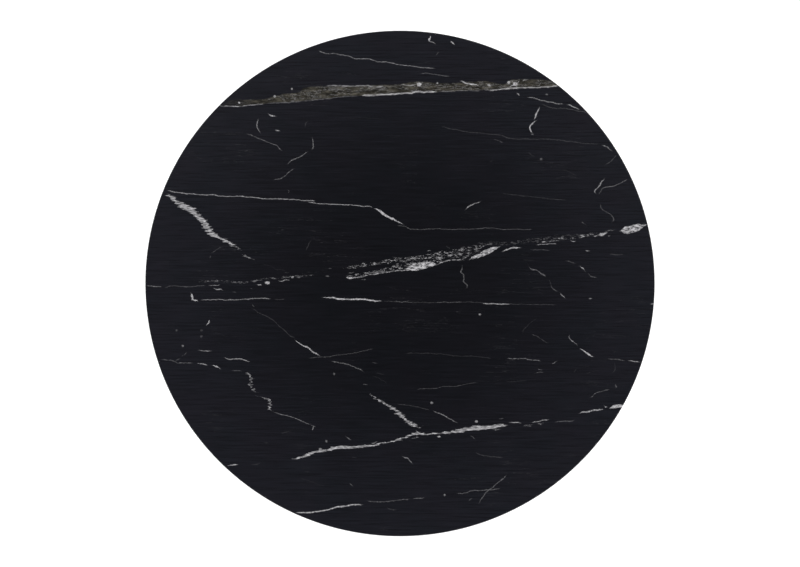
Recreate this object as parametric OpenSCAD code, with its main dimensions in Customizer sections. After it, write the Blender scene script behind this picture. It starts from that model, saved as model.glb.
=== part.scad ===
// Round pedestal table: a bevelled stone slab on a plywood backing board, carried by a
// four-armed steel spider, a tubular column and a weighted iron base under a spun steel cover.
// One tie rod clamps spider, column and base together. Four screw levellers stand on the floor.
// Origin: floor level, on the column's axis. +Z is up. Units are millimetres.

/* [Table] */
// Height of the top face above the floor
table_h = 740; // [600:1:900]

/* [Stone top] */
// Diameter of the slab
top_d = 1100; // [800:10:1400]
// Thickness of the slab
top_t = 20; // [16:1:30]
// Radius of the rounded upper edge
top_arris = 1.5; // [1:0.5:3]
// Height of the bevel cut under the edge
top_bevel_h = 12; // [6:1:12]
// Width of the bevel cut under the edge
top_bevel_w = 18; // [6:1:40]

/* [Backing board] */
// How far the slab reaches past the board
board_overhang = 120; // [80:5:200]
// Thickness of the plywood board
board_t = 15; // [12:1:25]
// Width and height of the bevel on the board's lower edge
board_bevel = 8; // [2:1:10]
// Diameter of the hole that clears the tie rod's upper nut
access_d = 50; // [40:1:80]
// Thickness of the silicone dabs between slab and board
bond_t = 1.5; // [1:0.5:3]
// Diameter of a silicone dab
dab_d = 40; // [20:1:60]
// Distance from the board's edge to the outer ring of dabs
dab_inset = 50; // [35:1:80]
// Wood left above a threaded insert
insert_cover = 2; // [1:0.5:4]
// Outer diameter of a threaded insert
insert_d = 12; // [11:0.5:14]

/* [Spider] */
// Number of arms
arm_count = 4; // [3:1:6]
// Width of an arm's flange
arm_w = 50; // [44:1:70]
// Thickness of an arm's flange
arm_flange_t = 5; // [4:0.5:8]
// Thickness of an arm's web
arm_web_t = 6; // [4:0.5:8]
// Depth of an arm at the column, flange included
arm_root_h = 44; // [30:1:60]
// Depth of an arm at its tip, flange included
arm_tip_h = 13; // [10:1:20]
// Distance from the board's edge to an arm's tip
arm_inset = 75; // [50:5:150]
// Distance from an arm's tip to its bolts
arm_bolt_inset = 22; // [15:1:40]
// Distance of an arm's bolts from its web's middle
arm_bolt_side = 15; // [13:1:20]
// How far the hub plate reaches past the column
hub_rim = 34; // [30:1:60]
// Thickness of the hub plate
hub_plate_t = 8; // [6:1:12]
// Height of the spigots that enter the column's ends
spigot_h = 25; // [15:1:40]
// Radial gap between a spigot and the column
spigot_clear = 0.2; // [0.1:0.1:0.5]
// Depth of the recess for the tie rod's upper nut
hub_recess_h = 12; // [8:1:16]
// Diameter of the recess for the tie rod's upper nut
hub_recess_d = 38; // [36:1:45]

/* [Fasteners] */
// Diameter of the bolts that hold the board
bolt_d = 8; // [6:1:8]
// Diameter of a button head
bolt_head_d = 14; // [12:0.5:14]
// Height of a button head
bolt_head_h = 4.4; // [3:0.1:5]
// Width across flats of the socket in a button head
bolt_socket_af = 5; // [4:1:6]
// Depth of the socket in a button head
bolt_socket_h = 2.6; // [2:0.1:3]
// Free length of the insert past the end of a bolt
bolt_end_gap = 3; // [1:0.5:4]
// Outer diameter of a bolt washer
washer_d = 16; // [15:0.5:16]
// Thickness of a bolt washer
washer_t = 1.6; // [1:0.1:2]
// Radial gap of a bolt in a plate or a washer
bolt_clear = 0.5; // [0.3:0.1:0.8]
// Diameter of a collar's set screw
set_screw_d = 5; // [4:1:6]
// Radial gap of a set screw in its collar
set_screw_clear = 0.1; // [0.05:0.05:0.2]
// Number of set screws in each collar
set_screw_count = 4; // [3:1:6]

/* [Column] */
// Outer diameter of the column tube
column_d = 101.6; // [76:0.1:140]
// Wall of the column tube
column_wall = 3; // [2:0.5:6]
// Radial gap between a collar and the column
collar_clear = 0.3; // [0.1:0.1:0.5]
// How far the lower collar's foot reaches past the column
lower_collar_w = 24; // [16:1:40]
// Height of the lower collar
lower_collar_h = 28; // [20:1:50]
// How far the upper collar reaches past the column
upper_collar_w = 14; // [10:1:20]
// Height of the upper collar
upper_collar_h = 16; // [12:1:30]
// Wall of a collar at its thin end
collar_lip = 4; // [3:0.5:8]
// Straight edge of a collar at its wide end
collar_edge = 3; // [2:0.5:6]
// Height of the lower collar's set screws, as a share of the collar's height
lower_screw_share = 0.62; // [0.5:0.01:0.7]
// Height of the upper collar's set screws, as a share of the collar's height
upper_screw_share = 0.6; // [0.5:0.01:0.7]

/* [Tie rod] */
// Diameter of the tie rod
rod_d = 16; // [12:1:16]
// Radial gap of the rod in the spigots and washers
rod_clear = 0.5; // [0.3:0.1:1]
// Width across flats of the rod's nuts
rod_nut_af = 24; // [19:1:24]
// Height of the rod's nuts
rod_nut_h = 13; // [10:1:16]
// Thread showing past a nut
rod_end = 3; // [2:0.5:6]
// Outer diameter of the upper rod washer
upper_washer_d = 30; // [28:1:32]
// Thickness of the upper rod washer
upper_washer_t = 3; // [2:0.5:4]
// Outer diameter of the lower plate washer
lower_washer_d = 50; // [40:1:54]
// Thickness of the lower plate washer
lower_washer_t = 4; // [3:0.5:6]

/* [Base] */
// Diameter of the base cover
base_d = 640; // [520:10:800]
// Slope of the base cover, in degrees
base_slope = 5; // [3:0.5:8]
// Height of the cover's rim
rim_h = 25; // [25:1:40]
// Radius of the cover's rim corner
rim_r = 6; // [5:0.5:12]
// Thickness of the cover's sheet
cover_t = 1.5; // [1:0.1:2]
// Gap between the floor and the cover's rim
floor_gap = 9; // [9:0.5:15]
// Width of the flat seat around the lower collar
seat_margin = 7; // [4:1:20]
// How far the cover's rim reaches below the casting
cover_lip = 3; // [1:0.5:4]
// Gap between the cover's slope and rim and the casting
casting_gap = 2.5; // [1.5:0.5:3]
// Height of the rubber ring inside the cover's rim
ring_h = 8; // [4:1:10]
// Depth of the pockets under the casting
pocket_h = 18; // [8:1:18]
// Number of radial ribs between the pockets
rib_count = 16; // [8:1:20]
// Width of the ribs
rib_w = 8; // [6:1:14]
// How far the casting's solid middle reaches past the column
boss_rim = 24; // [16:1:40]
// Solid land between the pockets and the levellers' centres
leveller_land = 28; // [22:1:40]
// Diameter of the recess for the tie rod's lower nut
rod_recess_d = 60; // [56:1:70]

/* [Levellers] */
// Number of levellers
leveller_count = 4; // [3:1:6]
// Distance from the cover's rim to a leveller's axis
leveller_inset = 45; // [38:1:60]
// Thread diameter of a leveller's stud
stud_d = 10; // [8:1:12]
// Radial gap of a stud in its threaded hole
stud_clear = 0.1; // [0.05:0.01:0.1]
// Width across flats of a stud's hexagon
stud_af = 17; // [13:1:19]
// Height of a stud's hexagon
stud_hex_h = 4; // [3:0.5:5]
// Diameter of a stud's neck
neck_d = 8; // [6:0.5:8]
// Diameter of the button at a stud's lower end
button_d = 12; // [10:0.5:14]
// Diameter of a leveller's pad
pad_d = 34; // [28:1:44]
// Height of a leveller's pad
pad_h = 6; // [5:0.5:6]
// Radius of the rounded upper edge of a leveller's pad
pad_edge_r = 2; // [1:0.5:3]
// Plastic under the button
pad_floor = 1.2; // [1:0.1:1.5]
// Plastic over the button
pad_roof = 1.8; // [1.2:0.1:2]
// Gap around the button and the neck in the pad
pad_clear = 0.3; // [0.2:0.1:0.5]
// Gap above and below the button in the pad
button_clear = 0.1; // [0.05:0.01:0.15]
// Diameter of the felt disc under a pad
felt_d = 31; // [24:1:42]
// Thickness of the felt disc under a pad
felt_t = 2; // [1:0.5:2.5]
// Gap kept between moving faces
free_gap = 0.5; // [0.5:0.1:1]
// Diameter of the recess that takes a stud's hexagon
hex_recess_d = 24; // [22:1:26]

/* [Hidden] */
$fn = 96;
// Steps in an arc of an outline
arc_steps = 8;
// Bevel at the ends of threads and studs
thread_bevel = 1;
// Depth to which an arm's web reaches into its flange, so that the two are one piece
web_bite = 0.5;
// Gap between an arm's web and the hub plate's rim
web_gap = 0.5;

// Levels of the top, counted down from the top face
slab_z = table_h - top_t;
board_top_z = slab_z - bond_t;
hub_top_z = board_top_z - board_t;
hub_under_z = hub_top_z - hub_plate_t;
flange_under_z = hub_top_z - arm_flange_t;

// Radii of the top
top_r = top_d / 2;
board_r = top_r - board_overhang;
arm_tip_r = board_r - arm_inset;
arm_bolt_r = arm_tip_r - arm_bolt_inset;
insert_h = board_t - insert_cover;
outer_dab_r = board_r - dab_inset;
inner_dab_r = (access_d / 2 + outer_dab_r) / 2;
// One ring of dabs is [radius, count]
dab_rings = [[inner_dab_r, 6], [outer_dab_r, 12]];

// Radii around the column
column_r = column_d / 2;
spigot_r = column_r - column_wall - spigot_clear;
collar_bore_r = column_r + collar_clear;
upper_collar_r = column_r + upper_collar_w;
lower_collar_r = column_r + lower_collar_w;
hub_r = column_r + hub_rim;
hub_bolt_r = (upper_collar_r + hub_r) / 2;
seat_r = lower_collar_r + seat_margin;
rod_hole_r = rod_d / 2 + rod_clear;

// Heights of the set screws above a collar's wide end
lower_screw_z = lower_collar_h * lower_screw_share;
upper_screw_z = upper_collar_h * upper_screw_share;

// Levels and radii of the base
base_r = base_d / 2;
casting_z = floor_gap + cover_lip;
corner = [base_r - rim_r, floor_gap + rim_h - rim_r];
leveller_r = base_r - leveller_inset;
leveller_start = 180 / leveller_count;
seat_z = slope_z(seat_r, 0);
land_z = seat_z - cover_t;
casting_inset = cover_t + casting_gap;
boss_r = column_r + boss_rim;
pocket_end_r = leveller_r - leveller_land;
rib_ring_r = (boss_r + pocket_end_r) / 2;
rod_recess_h = lower_washer_t + rod_nut_h + rod_end + 1;

// Levels of a leveller, counted up from the floor
pad_top_z = felt_t + pad_h;
hex_z = pad_top_z + free_gap;
leveller_up = casting_z - pad_top_z - free_gap;
hex_recess_z = hex_z + stud_hex_h + leveller_up + 2 * free_gap;
button_z = felt_t + pad_floor + button_clear;
button_top_z = pad_top_z - pad_roof - button_clear;
stud_top_z = slope_z(leveller_r, cover_t) - leveller_up - free_gap;

// Levels of the tie rod
upper_nut_z = hub_top_z - hub_recess_h + upper_washer_t;
lower_nut_z = casting_z + rod_recess_h - lower_washer_t - rod_nut_h;

LEVELLERS = [for (i = [1:leveller_count]) i];

// Points of an arc about a centre, from angle a0 to angle a1
function arc(centre, r, a0, a1) =
    [for (i = [0:arc_steps])
        let (a = a0 + (a1 - a0) * i / arc_steps) centre + r * [cos(a), sin(a)]];

// Where the arc at the rim's corner meets the slope, on the surface inset by a depth
function slope_start(inset) =
    corner + (rim_r - inset) * [sin(base_slope), cos(base_slope)];

// Height of the slope at a radius, on the surface inset by a depth
function slope_z(r, inset) =
    slope_start(inset)[1] + (slope_start(inset)[0] - r) * tan(base_slope);

// Radius at which the slope reaches a height, on the surface inset by a depth
function slope_r(z, inset) =
    slope_start(inset)[0] - (z - slope_start(inset)[1]) / tan(base_slope);

// Outline of the base from the rim up to the flat seat, on the surface inset by a depth
function dome_outline(inset, foot_z, flat_z) = concat(
    [[base_r - inset, foot_z]],
    arc(corner, rim_r - inset, 0, 90 - base_slope),
    [[slope_r(flat_z, inset), flat_z]]
);

// A ring or disc about the Z axis
module ring(outer_r, inner_r, z, h) {
    translate([0, 0, z]) difference() {
        cylinder(r = outer_r, h = h);
        if (inner_r > 0) translate([0, 0, -1]) cylinder(r = inner_r, h = h + 2);
    }
}

// Copies the children around the Z axis
module around(count, start = 0) {
    for (i = [0:count - 1]) rotate([0, 0, start + 360 * i / count]) children();
}

// Places the children at each bolt: a pair on every arm, and one between arms on the hub
module at_arm_bolts() {
    around(arm_count)
        for (side = [-1, 1]) translate([arm_bolt_r, side * arm_bolt_side, 0]) children();
}

module at_hub_bolts() {
    around(arm_count, 180 / arm_count) translate([hub_bolt_r, 0, 0]) children();
}

// Places the children at each silicone dab
module at_dabs() {
    for (row = dab_rings) around(row[1], 180 / row[1]) translate([row[0], 0, 0]) children();
}

module stone_top() {
    color([0.09, 0.09, 0.11]) rotate_extrude() polygon(concat(
        [[0, slab_z], [top_r - top_bevel_w, slab_z], [top_r, slab_z + top_bevel_h]],
        arc([top_r - top_arris, table_h - top_arris], top_arris, 0, 90),
        [[0, table_h]]
    ));
}

module silicone_dabs() {
    color([0.85, 0.85, 0.82]) at_dabs() ring(dab_d / 2, 0, board_top_z, bond_t);
}

module backing_board() {
    color([0.1, 0.1, 0.1]) difference() {
        rotate_extrude() polygon([
            [access_d / 2, hub_top_z],
            [board_r - board_bevel, hub_top_z],
            [board_r, hub_top_z + board_bevel],
            [board_r, board_top_z],
            [access_d / 2, board_top_z]
        ]);
        for_inserts() translate([0, 0, hub_top_z - 1]) cylinder(d = insert_d, h = insert_h + 1);
    }
}

// Places the children at every insert of the backing board
module for_inserts() {
    at_arm_bolts() children();
    at_hub_bolts() children();
}

module threaded_inserts() {
    color([0.8, 0.65, 0.35])
        for_inserts() ring(insert_d / 2, bolt_d / 2, hub_top_z, insert_h);
}

module spider_hub() {
    color([0.12, 0.12, 0.12]) difference() {
        union() {
            ring(hub_r, 0, hub_under_z, hub_plate_t);
            ring(spigot_r, 0, hub_under_z - spigot_h, spigot_h);
        }
        translate([0, 0, hub_under_z - spigot_h - 1])
            cylinder(r = rod_hole_r, h = spigot_h + hub_plate_t + 2);
        translate([0, 0, hub_top_z - hub_recess_h])
            cylinder(d = hub_recess_d, h = hub_recess_h + 1);
        at_hub_bolts() translate([0, 0, hub_under_z - 1])
            cylinder(r = bolt_d / 2 + bolt_clear, h = hub_plate_t + 2);
    }
}

// One arm along +X: a flange welded to the hub plate's edge over a tapered web
module spider_arm() {
    difference() {
        union() {
            translate([0, -arm_w / 2, flange_under_z]) cube([arm_tip_r, arm_w, arm_flange_t]);
            translate([0, arm_web_t / 2, 0]) rotate([90, 0, 0]) linear_extrude(arm_web_t)
                polygon([
                    [upper_collar_r + free_gap, hub_top_z - arm_root_h],
                    [hub_r + arm_flange_t, hub_top_z - arm_root_h],
                    [arm_tip_r - arm_flange_t, hub_top_z - arm_tip_h],
                    [arm_tip_r - arm_flange_t, flange_under_z + web_bite],
                    [hub_r + web_gap, flange_under_z + web_bite],
                    [hub_r + web_gap, hub_under_z],
                    [upper_collar_r + free_gap, hub_under_z]
                ]);
        }
        translate([0, 0, hub_under_z]) cylinder(r = hub_r, h = hub_plate_t + 1);
        for (side = [-1, 1]) translate([arm_bolt_r, side * arm_bolt_side, flange_under_z - 1])
            cylinder(r = bolt_d / 2 + bolt_clear, h = arm_flange_t + 2);
    }
}

module spider_arms() {
    color([0.12, 0.12, 0.12]) around(arm_count) spider_arm();
}

// One button-head bolt pointing up, with its washer's underside at z
module board_bolt(z, plate_t) {
    shank = washer_t + plate_t + insert_h - bolt_end_gap;
    translate([0, 0, z]) difference() {
        union() {
            cylinder(d = bolt_d, h = shank);
            rotate_extrude() polygon(concat(
                [[0, -bolt_head_h], [bolt_head_d / 4, -bolt_head_h]],
                [for (i = [1:arc_steps]) let (a = 90 * i / arc_steps)
                    [bolt_head_d / 4 * (1 + sin(a)), -bolt_head_h * cos(a)]],
                [[0, 0]]
            ));
        }
        translate([0, 0, -bolt_head_h - 1])
            cylinder(d = bolt_socket_af / cos(30), h = bolt_socket_h + 1, $fn = 6);
    }
}

module board_bolts() {
    color([0.15, 0.15, 0.15]) {
        at_arm_bolts() board_bolt(flange_under_z - washer_t, arm_flange_t);
        at_hub_bolts() board_bolt(hub_under_z - washer_t, hub_plate_t);
    }
}

module board_washers() {
    color([0.6, 0.6, 0.6]) {
        at_arm_bolts()
            ring(washer_d / 2, bolt_d / 2 + bolt_clear, flange_under_z - washer_t, washer_t);
        at_hub_bolts()
            ring(washer_d / 2, bolt_d / 2 + bolt_clear, hub_under_z - washer_t, washer_t);
    }
}

module column_tube() {
    color([0.08, 0.08, 0.08])
        ring(column_r, column_r - column_wall, land_z, hub_under_z - land_z);
}

// A collar that flares towards its wide end at z = 0, with its set screws' holes
module collar(wide_r, h, screw_z) {
    flare_w = wide_r - collar_bore_r - collar_lip;
    flare_h = h - collar_edge;
    difference() {
        rotate_extrude() polygon(concat(
            [[collar_bore_r, 0], [wide_r, 0], [wide_r, collar_edge]],
            [for (i = [1:arc_steps]) let (a = 90 * i / arc_steps)
                [wide_r - flare_w * sin(a), h - flare_h * cos(a)]],
            [[collar_bore_r, h]]
        ));
        around(set_screw_count, 180 / set_screw_count)
            translate([0, 0, screw_z]) rotate([0, 90, 0])
                cylinder(r = set_screw_d / 2 + set_screw_clear, h = wide_r);
    }
}

// A collar's set screws, which bear on the column and end inside the collar's wall
module set_screws(wide_r, h, screw_z) {
    flare_w = wide_r - collar_bore_r - collar_lip;
    flare_h = h - collar_edge;
    depth = acos((h - screw_z) / flare_h);
    wall_r = wide_r - flare_w * sin(depth);
    around(set_screw_count, 180 / set_screw_count)
        translate([column_r, 0, screw_z]) rotate([0, 90, 0])
            cylinder(d = set_screw_d, h = wall_r - column_r - free_gap);
}

module upper_collar() {
    color([0.08, 0.08, 0.08]) translate([0, 0, hub_under_z]) mirror([0, 0, 1])
        collar(upper_collar_r, upper_collar_h, upper_screw_z);
}

module lower_collar() {
    color([0.08, 0.08, 0.08]) translate([0, 0, seat_z])
        collar(lower_collar_r, lower_collar_h, lower_screw_z);
}

module collar_set_screws() {
    color([0.2, 0.2, 0.2]) {
        translate([0, 0, hub_under_z]) mirror([0, 0, 1])
            set_screws(upper_collar_r, upper_collar_h, upper_screw_z);
        translate([0, 0, seat_z]) set_screws(lower_collar_r, lower_collar_h, lower_screw_z);
    }
}

module tie_rod() {
    bottom = lower_nut_z - rod_end;
    top = upper_nut_z + rod_nut_h + rod_end;
    color([0.7, 0.7, 0.7]) rotate_extrude() polygon([
        [0, bottom],
        [rod_d / 2 - thread_bevel, bottom],
        [rod_d / 2, bottom + thread_bevel],
        [rod_d / 2, top - thread_bevel],
        [rod_d / 2 - thread_bevel, top],
        [0, top]
    ]);
}

module rod_nut(z) {
    translate([0, 0, z]) difference() {
        cylinder(d = rod_nut_af / cos(30), h = rod_nut_h, $fn = 6);
        translate([0, 0, -1]) cylinder(d = rod_d, h = rod_nut_h + 2);
    }
}

module upper_rod_nut() {
    color([0.7, 0.7, 0.7]) rod_nut(upper_nut_z);
}

module lower_rod_nut() {
    color([0.7, 0.7, 0.7]) rod_nut(lower_nut_z);
}

module upper_rod_washer() {
    color([0.7, 0.7, 0.7])
        ring(upper_washer_d / 2, rod_hole_r, upper_nut_z - upper_washer_t, upper_washer_t);
}

module lower_rod_washer() {
    color([0.7, 0.7, 0.7])
        ring(lower_washer_d / 2, rod_hole_r, lower_nut_z + rod_nut_h, lower_washer_t);
}

// Outline of one row of pockets between two radii
module pocket_row(r0, r1) {
    difference() {
        ring(r1, r0, casting_z - 1, pocket_h + 1);
        around(rib_count, 180 / rib_count)
            translate([0, -rib_w / 2, casting_z - 2]) cube([r1 + 1, rib_w, pocket_h + 3]);
    }
}

module base_casting() {
    color([0.3, 0.3, 0.3]) difference() {
        union() {
            rotate_extrude() polygon(concat(
                [[0, casting_z]],
                [[base_r - casting_inset, casting_z]],
                arc(corner, rim_r - casting_inset, 0, 90 - base_slope),
                [[seat_r, slope_z(seat_r, casting_inset)], [seat_r, land_z], [0, land_z]]
            ));
            ring(spigot_r, 0, land_z - 1, spigot_h + 1);
        }
        translate([0, 0, casting_z - 1]) cylinder(r = rod_hole_r, h = land_z + spigot_h);
        translate([0, 0, casting_z - 1]) cylinder(d = rod_recess_d, h = rod_recess_h + 1);
        pocket_row(boss_r, rib_ring_r - rib_w / 2);
        pocket_row(rib_ring_r + rib_w / 2, pocket_end_r);
        around(leveller_count, leveller_start) translate([leveller_r, 0, casting_z - 1]) {
            cylinder(r = stud_d / 2 + stud_clear, h = land_z);
            cylinder(d = hex_recess_d, h = hex_recess_z - casting_z + 1);
        }
    }
}

module base_cover() {
    inner = dome_outline(cover_t, floor_gap, land_z);
    color([0.08, 0.08, 0.08]) rotate_extrude() polygon(concat(
        dome_outline(0, floor_gap, seat_z),
        [[collar_bore_r, seat_z], [collar_bore_r, land_z]],
        [for (i = [len(inner) - 1:-1:0]) inner[i]]
    ));
}

// Rubber ring between the casting's wall and the inside of the cover's rim
module rim_ring() {
    color([0.1, 0.1, 0.1])
        ring(base_r - cover_t, base_r - casting_inset, casting_z + cover_lip, ring_h);
}

// Moves the children to leveller i
module at_leveller(i) {
    rotate([0, 0, leveller_start + 360 * (i - 1) / leveller_count])
        translate([leveller_r, 0, 0]) children();
}

module leveller_stud(i) {
    color([0.75, 0.75, 0.75]) at_leveller(i) union() {
        ring(button_d / 2, 0, button_z, button_top_z - button_z);
        ring(neck_d / 2, 0, button_z, hex_z - button_z + 1);
        translate([0, 0, hex_z]) cylinder(d = stud_af / cos(30), h = stud_hex_h, $fn = 6);
        rotate_extrude() polygon([
            [0, hex_z],
            [stud_d / 2, hex_z],
            [stud_d / 2, stud_top_z - thread_bevel],
            [stud_d / 2 - thread_bevel, stud_top_z],
            [0, stud_top_z]
        ]);
    }
}

module leveller_pad(i) {
    socket_r = button_d / 2 + pad_clear;
    mouth_r = neck_d / 2 + pad_clear;
    roof_z = pad_top_z - pad_roof;
    color([0.12, 0.12, 0.12]) at_leveller(i) rotate_extrude() polygon(concat(
        [[0, felt_t], [pad_d / 2, felt_t]],
        arc([pad_d / 2 - pad_edge_r, pad_top_z - pad_edge_r], pad_edge_r, 0, 90),
        [[mouth_r, pad_top_z], [mouth_r, roof_z], [socket_r, roof_z],
         [socket_r, felt_t + pad_floor], [0, felt_t + pad_floor]]
    ));
}

module leveller_felt(i) {
    color([0.35, 0.33, 0.3]) at_leveller(i) ring(felt_d / 2, 0, 0, felt_t);
}

stone_top();
silicone_dabs();
backing_board();
threaded_inserts();
spider_hub();
spider_arms();
board_bolts();
board_washers();
column_tube();
upper_collar();
lower_collar();
collar_set_screws();
tie_rod();
upper_rod_nut();
upper_rod_washer();
lower_rod_nut();
lower_rod_washer();
base_casting();
base_cover();
rim_ring();
for (i = LEVELLERS) {
    leveller_stud(i);
    leveller_pad(i);
    leveller_felt(i);
}
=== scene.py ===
"""Gives the round pedestal table its finished pieces, its materials and its studio stage."""
import math
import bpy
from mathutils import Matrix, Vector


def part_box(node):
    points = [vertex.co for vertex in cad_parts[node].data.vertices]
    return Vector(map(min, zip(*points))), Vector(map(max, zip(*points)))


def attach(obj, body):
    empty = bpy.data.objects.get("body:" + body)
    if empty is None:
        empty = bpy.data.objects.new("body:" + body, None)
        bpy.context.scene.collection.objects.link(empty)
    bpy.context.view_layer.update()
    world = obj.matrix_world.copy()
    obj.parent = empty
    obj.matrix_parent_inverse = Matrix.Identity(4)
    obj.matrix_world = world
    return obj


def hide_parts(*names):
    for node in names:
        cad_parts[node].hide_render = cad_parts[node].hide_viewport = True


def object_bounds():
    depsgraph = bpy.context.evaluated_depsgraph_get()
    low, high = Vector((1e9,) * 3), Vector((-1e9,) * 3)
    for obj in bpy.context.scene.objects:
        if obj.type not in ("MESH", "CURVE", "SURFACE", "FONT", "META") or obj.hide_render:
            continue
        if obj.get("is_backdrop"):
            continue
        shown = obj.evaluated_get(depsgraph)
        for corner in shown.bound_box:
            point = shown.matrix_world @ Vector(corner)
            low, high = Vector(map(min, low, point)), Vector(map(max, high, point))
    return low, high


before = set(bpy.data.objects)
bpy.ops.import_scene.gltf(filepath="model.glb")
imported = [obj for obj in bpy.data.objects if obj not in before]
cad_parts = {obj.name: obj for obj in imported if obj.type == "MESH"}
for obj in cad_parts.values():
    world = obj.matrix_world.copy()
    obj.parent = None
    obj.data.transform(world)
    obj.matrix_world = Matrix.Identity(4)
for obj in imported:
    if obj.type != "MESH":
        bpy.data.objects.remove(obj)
CAD_LOW, CAD_HIGH = (corner.copy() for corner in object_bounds())

import bmesh
import bpy
from bpy.props import FloatProperty, FloatVectorProperty, IntProperty, PointerProperty
from mathutils import Vector

bl_info = {
    "name": "Round pedestal table",
    "version": (1, 0, 0),
    "blender": (4, 5, 0),
    "location": "View3D > Sidebar > Table",
    "description": "Builds a veined stone table on a steel column and a weighted base",
    "category": "Add Mesh",
}

LEVELLERS = range(1, 5)


# ---------------------------------------------------------------- sizes and colours

def length(name, description, default, **more):
    """A length in metres that the sidebar shows"""
    return FloatProperty(name=name, description=description, default=default, unit="LENGTH",
                         precision=4, min=0, **more)


def colour(name, description, default):
    """A colour that the sidebar shows"""
    return FloatVectorProperty(name=name, description=description, default=default,
                               subtype="COLOR", size=3, min=0, max=1)


class StoneSettings(bpy.types.PropertyGroup):
    arris: length("Arris", "Radius of the slab's rounded upper edge", 0.0015)
    bevel_height: length("Bevel height", "Height of the bevel under the slab's edge", 0.012)
    bevel_width: length("Bevel width", "Width of the bevel under the slab's edge", 0.018)
    dab_radius: length("Dab radius", "Radius of one silicone dab", 0.020)
    ground: colour("Ground", "Colour of the stone between its veins", (0.0062, 0.0062, 0.0088))
    vein: colour("Vein", "Colour of the whitest veins", (0.62, 0.61, 0.63))
    band: colour("Band", "Colour of the khaki band's light grains", (0.085, 0.078, 0.062))


class BoardSettings(bpy.types.PropertyGroup):
    bevel: length("Bevel", "Width and height of the bevel under the board's edge", 0.008)
    access: length("Access hole", "Radius of the hole over the tie rod's nut", 0.025)
    stain: colour("Stain", "Colour of the stained face veneer", (0.022, 0.019, 0.017))


class SpiderSettings(bpy.types.PropertyGroup):
    plate: length("Hub plate", "Thickness of the hub plate", 0.008)
    spigot: length("Spigot", "Radius of the spigots that centre the column", 0.0476)
    recess_depth: length("Nut recess depth", "Depth of the recess for the upper nut", 0.012)
    recess_radius: length("Nut recess radius", "Radius of the recess for the upper nut", 0.019)
    arm_width: length("Arm width", "Width of an arm's flange", 0.050)
    flange: length("Flange", "Thickness of an arm's flange", 0.005)
    web: length("Web", "Thickness of an arm's web", 0.006)
    tip_height: length("Tip height", "Depth of an arm at its tip", 0.013)
    bolt_inset: length("Bolt inset", "Distance from an arm's tip to its bolts", 0.022)
    bolt_side: length("Bolt side", "Distance of an arm's bolts from its middle", 0.015)
    bolt: length("Bolt", "Radius of the bolts that hold the board", 0.004)
    head: length("Bolt head", "Radius of a button head", 0.007)
    head_height: length("Head height", "Height of a button head", 0.0044)
    washer: length("Washer", "Radius of a bolt's washer", 0.008)
    washer_height: length("Washer height", "Thickness of a bolt's washer", 0.0016)
    paint: colour("Paint", "Colour of the powder coat", (0.014, 0.014, 0.015))


class ColumnSettings(bpy.types.PropertyGroup):
    wall: length("Wall", "Wall of the column's tube", 0.003)
    collar_gap: length("Collar gap", "Gap between a collar and the column", 0.0003)
    collar_lip: length("Collar lip", "Wall of a collar at its thin end", 0.004)
    collar_edge: length("Collar edge", "Straight edge of a collar at its wide end", 0.003)
    screw: length("Set screw", "Radius of a collar's set screws", 0.0025)
    rod_gap: length("Rod gap", "Gap around the tie rod", 0.0005)


class BaseSettings(bpy.types.PropertyGroup):
    slope: FloatProperty(name="Slope", description="Slope of the cover", subtype="ANGLE",
                         default=math.radians(5), min=0)
    rim_height: length("Rim height", "Height of the cover's rim", 0.025)
    rim_radius: length("Rim corner", "Radius of the cover's rim corner", 0.006)
    sheet: length("Sheet", "Thickness of the cover's sheet", 0.0015)
    gap: length("Casting gap", "Gap between the cover and the casting", 0.0025)
    seat: length("Seat", "Width of the flat seat around the lower collar", 0.007)
    pocket: length("Pocket", "Depth of the pockets under the casting", 0.018)
    boss: length("Boss", "How far the solid middle reaches past the column", 0.024)
    land: length("Land", "Iron between the pockets and the levellers", 0.028)
    rib: length("Rib", "Width of the casting's ribs", 0.008)
    ribs: IntProperty(name="Ribs", description="Number of radial ribs", default=16, min=4)
    recess: length("Rod recess", "Radius of the recess for the lower nut", 0.030)


class FootSettings(bpy.types.PropertyGroup):
    stud: length("Stud", "Radius of a leveller's thread", 0.005)
    neck: length("Neck", "Radius of a stud's neck", 0.004)
    button: length("Button", "Radius of the button at a stud's lower end", 0.006)
    hexagon: length("Hexagon", "Height of a stud's hexagon", 0.004)
    floor: length("Pad floor", "Plastic under the button", 0.0012)
    roof: length("Pad roof", "Plastic over the button", 0.0018)
    edge: length("Pad edge", "Radius of the pad's rounded upper edge", 0.002)


class StageSettings(bpy.types.PropertyGroup):
    elevation: FloatProperty(name="Elevation", description="Angle of the camera above the horizon",
                             subtype="ANGLE", default=math.radians(83))
    distance: length("Distance", "Distance of the camera from the middle of the top", 6.476)
    lens: FloatProperty(name="Lens", description="Focal length of the camera in millimetres",
                        default=135, min=1)
    lead: length("Lead", "How far in front of the top's middle the camera aims", 0.006)
    power: FloatProperty(name="Light power", description="Power of each soft light",
                         unit="POWER", default=46, min=0)
    floor: colour("Floor", "Colour of the studio floor", (0.86, 0.86, 0.86))


SETTINGS = {
    "stone": StoneSettings, "board": BoardSettings, "spider": SpiderSettings,
    "column": ColumnSettings, "base": BaseSettings, "foot": FootSettings, "stage": StageSettings,
}


def settings(group):
    """The values that the sidebar holds for one group"""
    return getattr(bpy.context.scene, "table_" + group)


# ---------------------------------------------------------------- modelling, as by hand

def deselect():
    """Leaves edit mode and selects nothing"""
    if bpy.context.object and bpy.context.object.mode != "OBJECT":
        bpy.ops.object.mode_set(mode="OBJECT")
    bpy.ops.object.select_all(action="DESELECT")


def select_only(*pieces):
    """Selects these objects and no others, with the first one active"""
    deselect()
    for piece in pieces:
        piece.select_set(True)
    bpy.context.view_layer.objects.active = pieces[0]


def settle(piece):
    """Moves a piece's place, turn and size into its mesh"""
    select_only(piece)
    bpy.ops.object.transform_apply(location=True, rotation=True, scale=True)
    return piece


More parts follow.
